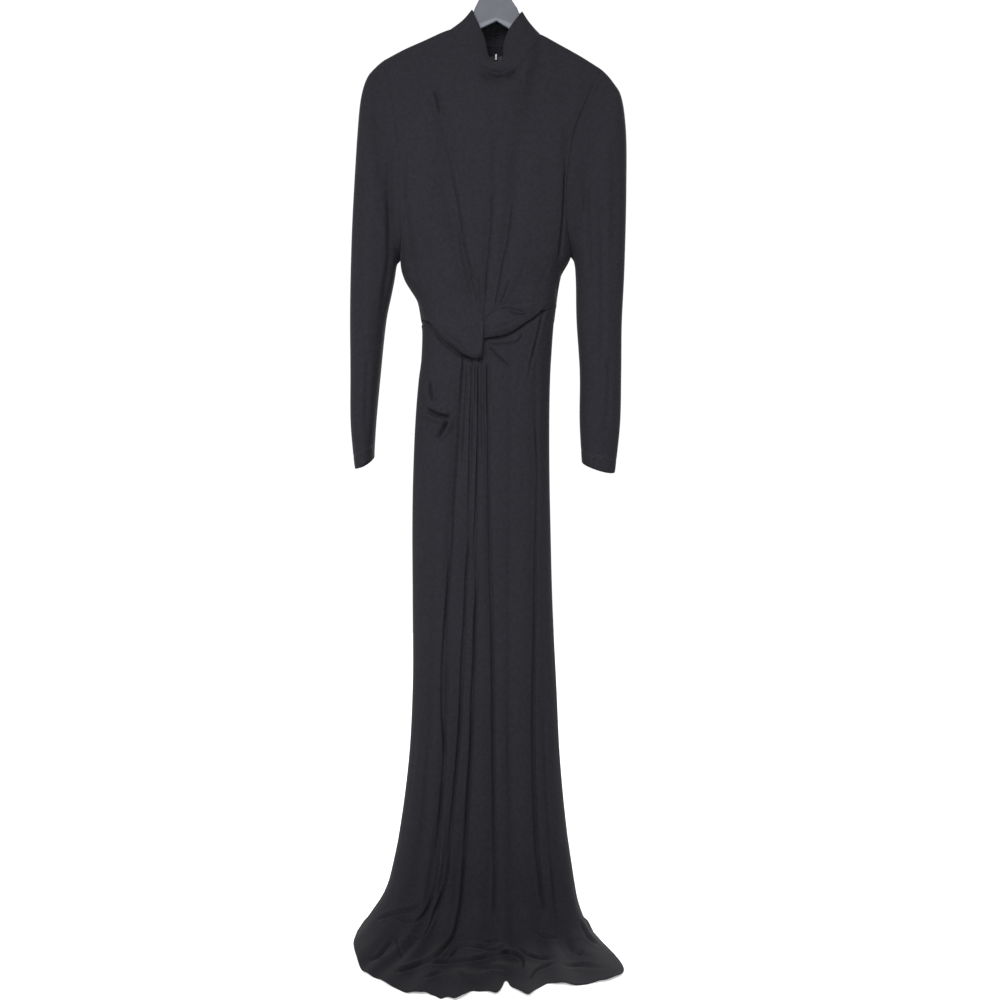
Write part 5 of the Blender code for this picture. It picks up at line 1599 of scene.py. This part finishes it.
    def _front(self) -> Object:
        """Makes the front, cut in one and slit up from the twist."""
        shares = self._shares(self.columns)
        left, right = (
            self._panel(half, "front", FRONT_LINE + half.line_end, shares) for half in (LEFT, RIGHT)
        )
        left[..., 2] -= self._sag(left, shares)
        left = self._lap(left)
        right = self._melt(right)
        shared = len(spread([line.drop for line in FRONT_LINE], self.step))
        average = (left[:shared, 0] + right[:shared, 0]) / 2
        near = bell(shares, MIDDLE_REACH)[None, :, None]
        for points in (left, right):
            points[:shared] += (average - points[:shared, 0])[:, None] * near
        left = self._press(left, near, shared, True)
        self.right_half = self._press(right, near, shared, False)
        halves = [left, self.right_half]
        return sew("bodice_front_cloth", halves, self.finish, ["bodice_front"])

    def _back(self, name: str, half: Half) -> Object:
        """Makes one half of the back."""
        shares = self._shares(self.back_columns)
        points = self._panel(half, "back", BACK_LINE, shares)
        gap = mix(-SEAM_LAP_TOP, ZIP_HALF_GAP, onset(-points[..., 2], *GAP_OPENING))
        points[..., 0] += half.outward * gap * (1 - shares)
        points = points[:, :: -half.outward]
        out = normals_of(points)
        free = held(points, BACK_HOLD, "tblr")
        points = creased(points, out, BODICE_BACK_CREASES, free)
        points = moved(points, out, unevenness(points, size=0.6, seed=half.seed) * free)
        points = moved(points, out, -edge_roll(points, *SEAM_TUCK, "tblr"))
        return sew(f"{name}_cloth", [points], self.finish, [name])

    def build(self) -> None:
        """Makes the front and the backs."""
        self._front()
        self._back("back_left", LEFT)
        self._back("back_right", RIGHT)


class LoopColumn(NamedTuple):
    """A section of the loop of cloth that leaves the twist, from its upper to its lower edge."""

    x: float
    upper: float
    lower: float
    puff: float


LOOP = rows_of(LoopColumn, (
    (-20, 598, 630, 0.3), (-14, 594, 629, 2.6), (-8, 588, 628, 5.4), (3, 580, 626, 6.8),
    (13, 577, 624, 6.4), (27, 576, 617.5, 4.8), (38, 575, 610.5, 3.4), (48, 573, 603.5, 2.2),
    (58.5, 570, 597, 1.2), (69, 566, 587.5, 0.6), (77, 562, 579.5, 0.2), (86, 560, 573, 0),
))


@dataclass
class TwistLoop:
    """The loop of cloth that comes out of the twist and runs to the right side.

    Attributes:
        finish: Its material.
        bodice: The right half of the bodice's front, which its upper edge touches.
        rows: How many rows it has.
        columns: How many columns.
        rest: The drop of the skirt's front that it rests on near the twist.
        flat: Where it starts to lie flat on the skirt, and over what distance.
        above: How far its upper edge stays in front of the bodice.
        clear: How far its lower edge stays in front of the skirt.
        leave: How soon it goes from one to the other.
        puff_power: How round its puff is.
        tuck: How far its lower edge turns in.
        tucking: Where it starts to turn in, and over what share of its height.
        cut: What it was cut to; not used.
    """

    finish: Material
    bodice: Array
    rows: int = 44
    columns: int = 112
    rest: float = 620.0
    flat: tuple = (40, 20)
    above: float = 0.35
    clear: float = 1.2
    leave: float = 1.15
    puff_power: float = 1.4
    tuck: float = 3.4
    tucking: tuple = (0.9, 0.1)
    cut: Cut = Cut(0.13, 0.055, "gathered", 0.0047)

    def build(self) -> None:
        """Makes the loop."""
        x = column(LOOP, "x")
        places = np.linspace(x[0], x[-1], self.columns)
        upper, lower, puff = (read(LOOP, "x", name, places) for name in LoopColumn._fields[1:])
        turn = np.linspace(0, 1, self.rows)[:, None]
        share = (1 - np.cos(math.pi * turn)) / 2
        drop = mix(upper, lower, share)
        across = np.broadcast_to(places, drop.shape)
        here, rest = (FORM.front_depth(across, at) for at in (drop, np.full(drop.shape, self.rest)))
        skirt = mix(np.maximum(here, rest), here, onset(across, *self.flat))
        edge = np.stack([places, -upper], axis=-1)
        bodice = self.bodice.reshape(-1, 3)
        apart = ((edge[:, None] - bodice[None][..., (0, 2)]) ** 2).sum(axis=2)
        above = self.above - bodice[apart.argmin(axis=1), 1]
        stand = mix(above, skirt + self.clear, ease(share * self.leave))
        stand = stand + puff * np.sin(math.pi * turn) ** self.puff_power
        stand = stand - self.tuck * onset(turn, *self.tucking)
        points = np.stack([across, -stand, -drop], axis=-1)
        out = normals_of(points)
        points = creased(points, out, LOOP_CREASES, held(points, reach=3.0, edges="tb"))
        points = moved(points, out, unevenness(points, size=0.3, seed=2.9))
        sew("twist_loop_cloth", [points], self.finish, ["twist_loop"])


@dataclass
class Sleeve:
    """A long set-in sleeve, open at the armhole and the cuff.

    Attributes:
        name: The name of its solid.
        armhole: The armhole that it is set into.
        rings: Its sections below the armhole.
        creases: Its creases.
        finish: Its material.
        thread: The material of its stitches.
        rows: How many rows it has.
        columns: How many columns.
        gap: How far its solid stays off the armhole.
        meet: Over how many rows it is drawn to the armhole.
        hold: Over what distance it gets free to crease, from the armhole and from the cuff.
        seam_steps: How finely each half of the armhole is read.
        seam_dip: How far it dips at the armhole, and over what distance.
        stitch_dip: The same at its stitches.
        stitch_up: How far above the cuff the stitches are.
        stitch_apart: Half the distance between their two rows.
        stitch_pitch: The distance from stitch to stitch.
        stitch_out: How far they stand out.
        tuck: How far it reaches in behind the armhole.
        cut: What it was cut to; not used.
    """

    name: str
    armhole: tuple
    rings: tuple
    creases: tuple
    finish: Material
    thread: Material
    rows: int = 150
    columns: int = 150
    gap: float = 0.5
    meet: int = 10
    hold: tuple = (14, 8)
    seam_steps: int = 700
    seam_dip: tuple = (0.35, 1.8)
    stitch_dip: tuple = (0.45, 1.6)
    stitch_up: float = 18.0
    stitch_apart: float = 1.6
    stitch_pitch: float = 3.0
    stitch_out: float = 0.12
    tuck: float = 2.2
    cut: Cut = Cut(0.25, 0.66, "hung", 0.122)

    def _seam(self) -> Array:
        """Gives the armhole as the bodice's edges have it."""
        edges = []
        for line, side, sign in ((FRONT_LINE, "front", -1), (BACK_LINE, "back", 1)):
            holes = [(hole.x, sign * getattr(hole, side), -hole.drop) for hole in self.armhole]
            keys = [point.drop for point in line[: len(holes)]]
            edges.append(smooth(keys, np.array(holes), np.linspace(keys[0], keys[-1], self.seam_steps)))
        return np.concatenate(edges)

    def _coarse(self) -> Array:
        """Gives the sleeve's rings, from the armhole to the cuff."""
        count = len(self.armhole) - 1
        outward = 1 if self.armhole[0].x > 0 else -1
        first = [(hole.x + outward * self.gap, -hole.front, hole.drop) for hole in self.armhole]
        first[0] = (first[0][0], 0.0, first[0][2])
        first[-1] = (first[-1][0], 0.0, first[-1][2])
        behind = reversed(self.armhole[1:-1])
        first += [(hole.x + outward * self.gap, hole.back, hole.drop) for hole in behind]
        top, span = first[0][2], first[count][2] - first[0][2]
        rows = [first]
        for number, ring in enumerate(self.rings):
            pull = ARMHOLE_PULL[number] if number < len(ARMHOLE_PULL) else 0.0
            row = []
            for step, start in enumerate(first):
                angle = math.pi * step / count
                down = (1 - math.cos(angle)) / 2
                depth = math.copysign(abs(math.sin(angle)) ** SLEEVE_SQUARE, math.sin(angle))
                down = mix(down, (start[2] - top) / span, pull)
                y = mix(-depth * (ring.front if depth > 0 else ring.back), start[1], pull)
                drop = mix(ring.outer_drop, ring.inner_drop, down)
                if number == len(self.rings) - 1:
                    drop += CUFF_SAG * abs(depth)
                row.append((mix(ring.outer_x, ring.inner_x, down), y, drop))
            rows.append(row)
        if outward > 0:
            rows = [[row[0]] + row[:0:-1] for row in rows]
        return np.array(rows, float) * (1, 1, -1)

    def build(self) -> None:
        """Makes the sleeve and the stitches of its cuff."""
        points = refine(self._coarse(), self.rows, self.columns)
        seam = self._seam()
        apart = np.linalg.norm(points[0][:, None] - seam[None], axis=2).argmin(axis=1)
        fade = np.clip(1 - np.arange(self.rows) / self.meet, 0, 1)[:, None, None]
        points = points + (seam[apart] - points[0])[None] * fade
        out = normals_of(points, around=True)
        down = travelled(points, 0)
        hem = down[-1:] - down
        free = ease(down / self.hold[0]) * ease(hem / self.hold[1])
        points = creased(points, out, self.creases, free)
        points = moved(points, out, unevenness(points, size=0.6, seed=len(self.name) * 1.3) * free)
        dips = self.seam_dip[0] * bell(down, self.seam_dip[1])
        dips = dips + self.stitch_dip[0] * bell(hem - self.stitch_up, self.stitch_dip[1])
        points = moved(points, out, -dips)
        lead = points[2] - points[0]
        inner = points[0] - self.tuck * lead / np.linalg.norm(lead, axis=1)[:, None]
        points = np.concatenate([(inner - out[0])[None], points])
        sew(f"{self.name}_cloth", [points], self.finish, [self.name], around=True)
        place = hem.mean(axis=1)
        for number, side in enumerate((-1, 1)):
            above = self.stitch_up + side * self.stitch_apart
            row = np.interp(above, place[::-1], np.arange(len(place))[::-1])
            low = int(row)
            path = mix(points[low], points[low + 1], row - low) + out[low] * self.stitch_out
            run = Repeats(f"{self.name}_stitch_{number}", self.stitch_pitch, self.thread)
            stitches = run.along(path, out[low], True)
            fit(stitches, self.thread)


@dataclass
class Collar:
    """The funnel collar: one doubled band that is open at the middle of the back."""

    finish: Material
    rows: int = 34
    back_columns: int = 44
    front_columns: int = 120
    overlap: float = 0.03
    cut: Cut = Cut(0.41, 0.05, "hung", 0.0146)

    def build(self) -> None:
        """Makes the collar."""
        back, front = (np.linspace(0, 1, count) for count in (self.back_columns, self.front_columns))
        lines = np.concatenate([
            along(COLLAR_BACK_LEFT, back)[:-1],
            along(COLLAR_FRONT, front),
            along(COLLAR_BACK_RIGHT, back[::-1])[1:],
        ])
        base, top, bow = lines[:, :3], lines[:, 3:6], lines[:, 6]
        share = np.linspace(1.0, -self.overlap, self.rows)[:, None]
        points = mix(base, top, share[..., None])
        reach = np.hypot(base[:, 0], base[:, 1])
        swell = bow * np.sin(math.pi * share)
        for axis in range(2):
            points[..., axis] += swell * base[:, axis] / reach
        points[..., 2] *= -1
        out = normals_of(points)
        free = held(points, reach=6.0, edges="tb")
        points = moved(points, out, unevenness(points, size=0.25, seed=5.1) * free)
        points = moved(points, out, -edge_roll(points, *COLLAR_TUCK, "tb"))
        sew("collar_cloth", [points], self.finish, ["collar"], wall=1.8)


@dataclass
class Repeats:
    """Copies of a small stitch or tooth along a path, made with Geometry Nodes.

    Attributes:
        name: The name of what comes out.
        pitch: Distance between the copies, in millimetres.
        finish: Their material.
        bars: Each copy's rounded bars, as (x, y, length across, length along, thickness).
    """

    name: str
    pitch: float
    finish: Material
    bars: tuple = ((0.0, 0.0, 0.42, 2.5, 0.34),)

    def _shape(self) -> Object:
        """Makes one copy: X across the path, Y along it and Z out of the cloth."""
        mesh = bmesh.new()
        for x, y, across, length, thick in self.bars:
            made = bmesh.ops.create_icosphere(mesh, subdivisions=1, radius=0.5 * MM)
            bmesh.ops.scale(mesh, verts=made["verts"], vec=(across, length, thick))
            bmesh.ops.translate(mesh, verts=made["verts"], vec=(x * MM, y * MM, 0.0))
        data = bpy.data.meshes.new(f"{self.name}_shape")
        mesh.to_mesh(data)
        mesh.free()
        data.shade_smooth()
        return put(f"{self.name}_shape", data)

    def _tree(self) -> tuple[NodeTree, dict[str, str]]:
        """Builds the node tree and gives the identifiers of its inputs."""
        tree = bpy.data.node_groups.new(f"{self.name}_run", "GeometryNodeTree")
        ports = {}
        for name, kind in (
            ("Path", "Geometry"), ("Pitch", "Float"), ("Shape", "Object"), ("Finish", "Material"),
        ):
            port = tree.interface.new_socket(name=name, in_out="INPUT", socket_type=f"NodeSocket{kind}")
            ports[name] = port.identifier
        tree.interface.new_socket(name="Run", in_out="OUTPUT", socket_type="NodeSocketGeometry")
        start, end, curve, spaced, out, tangent, turn, copy, copies, plain, finish = (
            tree.nodes.new(kind) for kind in (
                "NodeGroupInput", "NodeGroupOutput", "GeometryNodeMeshToCurve", "GeometryNodeResampleCurve",
                "GeometryNodeInputNamedAttribute", "GeometryNodeInputTangent", "FunctionNodeAxesToRotation",
                "GeometryNodeObjectInfo", "GeometryNodeInstanceOnPoints", "GeometryNodeRealizeInstances",
                "GeometryNodeSetMaterial",
            )
        )
        spaced.mode = "LENGTH"
        out.data_type = "FLOAT_VECTOR"
        out.inputs["Name"].default_value = "out"
        turn.primary_axis, turn.secondary_axis = "Z", "Y"
        for source, output, target, socket in (
            (start, "Path", curve, "Mesh"), (curve, "Curve", spaced, "Curve"),
            (start, "Pitch", spaced, "Length"), (spaced, "Curve", copies, "Points"),
            (out, "Attribute", turn, "Primary Axis"), (tangent, "Tangent", turn, "Secondary Axis"),
            (turn, "Rotation", copies, "Rotation"), (start, "Shape", copy, "Object"),
            (copy, "Geometry", copies, "Instance"), (copies, "Instances", plain, "Geometry"),
            (plain, "Geometry", finish, "Geometry"), (start, "Finish", finish, "Material"),
            (finish, "Geometry", end, "Run"),
        ):
            tree.links.new(source.outputs[output], target.inputs[socket])
        return tree, ports

    def along(self, path: Array, out: Array, closed: bool = False) -> Object:
        """Runs the copies along a path.

        Args:
            path: Points in millimetres.
            out: The cloth's outward direction at each.
            closed: Whether the path ends where it starts.

        Returns:
            The copies, as one mesh.
        """
        count = len(path)
        edges = [(index, index + 1) for index in range(count - 1)] + ([(count - 1, 0)] if closed else [])
        mesh = bpy.data.meshes.new(f"{self.name}_path")
        mesh.from_pydata((path * MM).tolist(), edges, [])
        mesh.attributes.new("out", "FLOAT_VECTOR", "POINT").data.foreach_set("vector", out.ravel())
        guide, shape = put(f"{self.name}_path", mesh), self._shape()
        tree, ports = self._tree()
        run = guide.modifiers.new("Run", "NODES")
        run.node_group = tree
        run[ports["Pitch"]] = self.pitch * MM
        run[ports["Shape"]] = shape
        run[ports["Finish"]] = self.finish
        depsgraph = bpy.context.evaluated_depsgraph_get()
        data = bpy.data.meshes.new_from_object(guide.evaluated_get(depsgraph))
        for helper in (guide, shape):
            bpy.data.objects.remove(helper, do_unlink=True)
        return put(self.name, data)


@dataclass
class BackZip:
    """The back zip's tape and coil.

    Attributes:
        finishes: The finishes to choose from.
        half_width: Half the tape's width.
        tail: How far the tape runs on below the coil.
        dish: How far the tape's middle lies in.
        tape_in: How far the tape is behind the cloth's surface.
        coil_in: How far the coil is.
        pitch: The distance from tooth to tooth on one side.
        tooth: A tooth's place to the side, and its length across, length along and thickness.
        rows: How many rows the tape has.
        columns: How many columns.
        coil_steps: How finely the coil's line is drawn.
        cut: What the tape was cut to; not used.
    """

    finishes: Finishes
    half_width: float = 10.0
    tail: float = 12
    dish: float = 0.5
    tape_in: float = 2.0
    coil_in: float = 0.9
    pitch: float = 1.25
    tooth: tuple = (0.75, 3.2, 0.9, 1.3)
    rows: int = 190
    columns: int = 15
    coil_steps: int = 300
    cut: Cut = Cut(0.02, 0.6, "hung")

    def _line(self, drop: Array) -> Array:
        """Gives the zip's middle on the back's surface at drops."""
        left, right = FORM.sides(drop)
        low = np.stack([(left + right) / 2, FORM.depth(np.full(len(drop), 0.5), drop, "back")], axis=-1)
        high = np.stack([read(BACK_LINE, "drop", name, drop) for name in ("x", "y")], axis=-1)
        flat = np.where((drop < WAIST_DROP)[:, None], high, low)
        return np.concatenate([flat, -drop[:, None]], axis=-1)

    def build(self) -> None:
        """Makes the tape and the coil."""
        middle = self._line(np.linspace(ZIP_START, ZIP_END + self.tail, self.rows))
        across = np.linspace(1, -1, self.columns)
        points = np.repeat(middle[:, None], len(across), axis=1)
        points[..., 0] += self.half_width * across
        points[..., 1] += -self.dish * (1 - np.abs(across)) ** 2 - self.tape_in
        tape = self.finishes.tape
        sew("zip_tape_cloth", [points], tape, ["zip_tape"], wall=0.7)
        line = self._line(np.linspace(ZIP_START, ZIP_END, self.coil_steps)) - (0, self.coil_in, 0)
        aside, *size = self.tooth
        bars = ((-aside, 0.0, *size), (aside, self.pitch / 2, *size))
        out = np.broadcast_to((0.0, 1.0, 0.0), line.shape)
        coil = Repeats("zip_coil", self.pitch, self.finishes.coil, bars).along(line, out)
        fit(coil, self.finishes.coil, ["zip_chain"])


@dataclass
class CarriedParts:
    """The solids whose shape is right: they only get a better material."""

    finishes: Finishes

    def build(self) -> None:
        """Gives the hard pieces their finishes."""
        for node, finish in (
            ("hanger", self.finishes.plastic), ("hanger_hook", self.finishes.wire),
            ("zip_slider", self.finishes.plated), ("zip_pull_tab", self.finishes.plated),
            ("collar_hook", self.finishes.burnished), ("collar_eye", self.finishes.burnished),
        ):
            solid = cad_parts[node]
            for slot in solid.material_slots:
                slot.material = finish
            LOG.info("%s: finished", node)


class Lamp(NamedTuple):
    """A soft lamp: where it is and what it is aimed at, its size in metres, and its power in watts."""

    name: str
    place: tuple
    aim: tuple
    size: float
    power: float


LAMPS = rows_of(Lamp, (
    ("key", (-0.9, -2.5, 0.6), (0.0, 0.0, -0.80), 1.3, 8.8),
    ("fill", (0.12, -2.66, -0.45), (0.0, 0.0, -0.25), 0.4, 0.8),
    ("rear", (0.9, 2.5, 0.6), (0.0, 0.0, -0.78), 1.3, 6.5),
))


@dataclass
class Studio:
    """A white floor, soft light and the camera.

    Attributes:
        lens: The camera's focal length, in millimetres.
        camera: Where it is, in metres.
        tilt: How far it is turned up from straight down, in degrees.
        floor: How high the floor is.
        reach: How far the floor goes to each side.
        spread: How wide the lamps spread.
        strength: How bright the room is.
    """

    lens: float = 60.75
    camera: tuple = (0.0064, -2.7, -0.773)
    tilt: float = 90 - 2.375
    floor: float = -FLOOR * MM - 0.0002
    reach: float = 4.0
    spread: float = math.radians(42)
    strength: float = 1.03

    def _paper(self) -> None:
        """Makes the floor."""
        corners = ((-1, -1), (1, -1), (1, 1), (-1, 1))
        points = [(self.reach * x, self.reach * y, self.floor) for x, y in corners]
        mesh = bpy.data.meshes.new("paper")
        mesh.from_pydata(points, [], [(0, 1, 2, 3)])
        mesh.materials.append(StudioPaper().make())
        put("paper", mesh)

    def _light(self, lamp: Lamp) -> None:
        """Adds a lamp."""
        data = bpy.data.lights.new(lamp.name, "AREA")
        data.size, data.energy, data.spread = lamp.size, lamp.power, self.spread
        made = put(lamp.name, data)
        made.location = lamp.place
        made.rotation_euler = (Vector(lamp.aim) - Vector(lamp.place)).to_track_quat("-Z", "Y").to_euler()

    def build(self) -> None:
        """Sets the studio up."""
        scene = bpy.context.scene
        scene.view_settings.view_transform = "Standard"
        world = bpy.data.worlds.new("studio")
        world.use_nodes = True
        background = world.node_tree.nodes["Background"].inputs
        background["Color"].default_value = (1.0, 1.0, 1.0, 1.0)
        background["Strength"].default_value = self.strength
        scene.world = world
        self._paper()
        for lamp in LAMPS:
            self._light(lamp)
        data = bpy.data.cameras.new("camera")
        data.lens = self.lens
        camera = put("camera", data)
        camera.location = self.camera
        camera.rotation_euler = (math.radians(self.tilt), 0.0, 0.0)
        scene.camera = camera


def main() -> None:
    """Builds the studio and dresses the solids."""
    logging.basicConfig(level=logging.INFO, format="%(message)s", stream=sys.stdout)
    finishes = Finishes()
    Studio().build()
    CarriedParts(finishes).build()
    Collar(finishes.jersey).build()
    bodice = Bodice(finishes.jersey)
    bodice.build()
    TwistLoop(finishes.jersey, bodice.right_half).build()
    for name, armhole, rings, creases in (
        ("sleeve_left", LEFT_ARMHOLE, LEFT_RINGS, LEFT_SLEEVE_CREASES),
        ("sleeve_right", RIGHT_ARMHOLE, RIGHT_RINGS, RIGHT_SLEEVE_CREASES),
    ):
        Sleeve(name, armhole, rings, creases, finishes.jersey, finishes.thread).build()
    Skirt(finishes.jersey).build()
    BackZip(finishes).build()


if __name__ == "__main__":
    main()
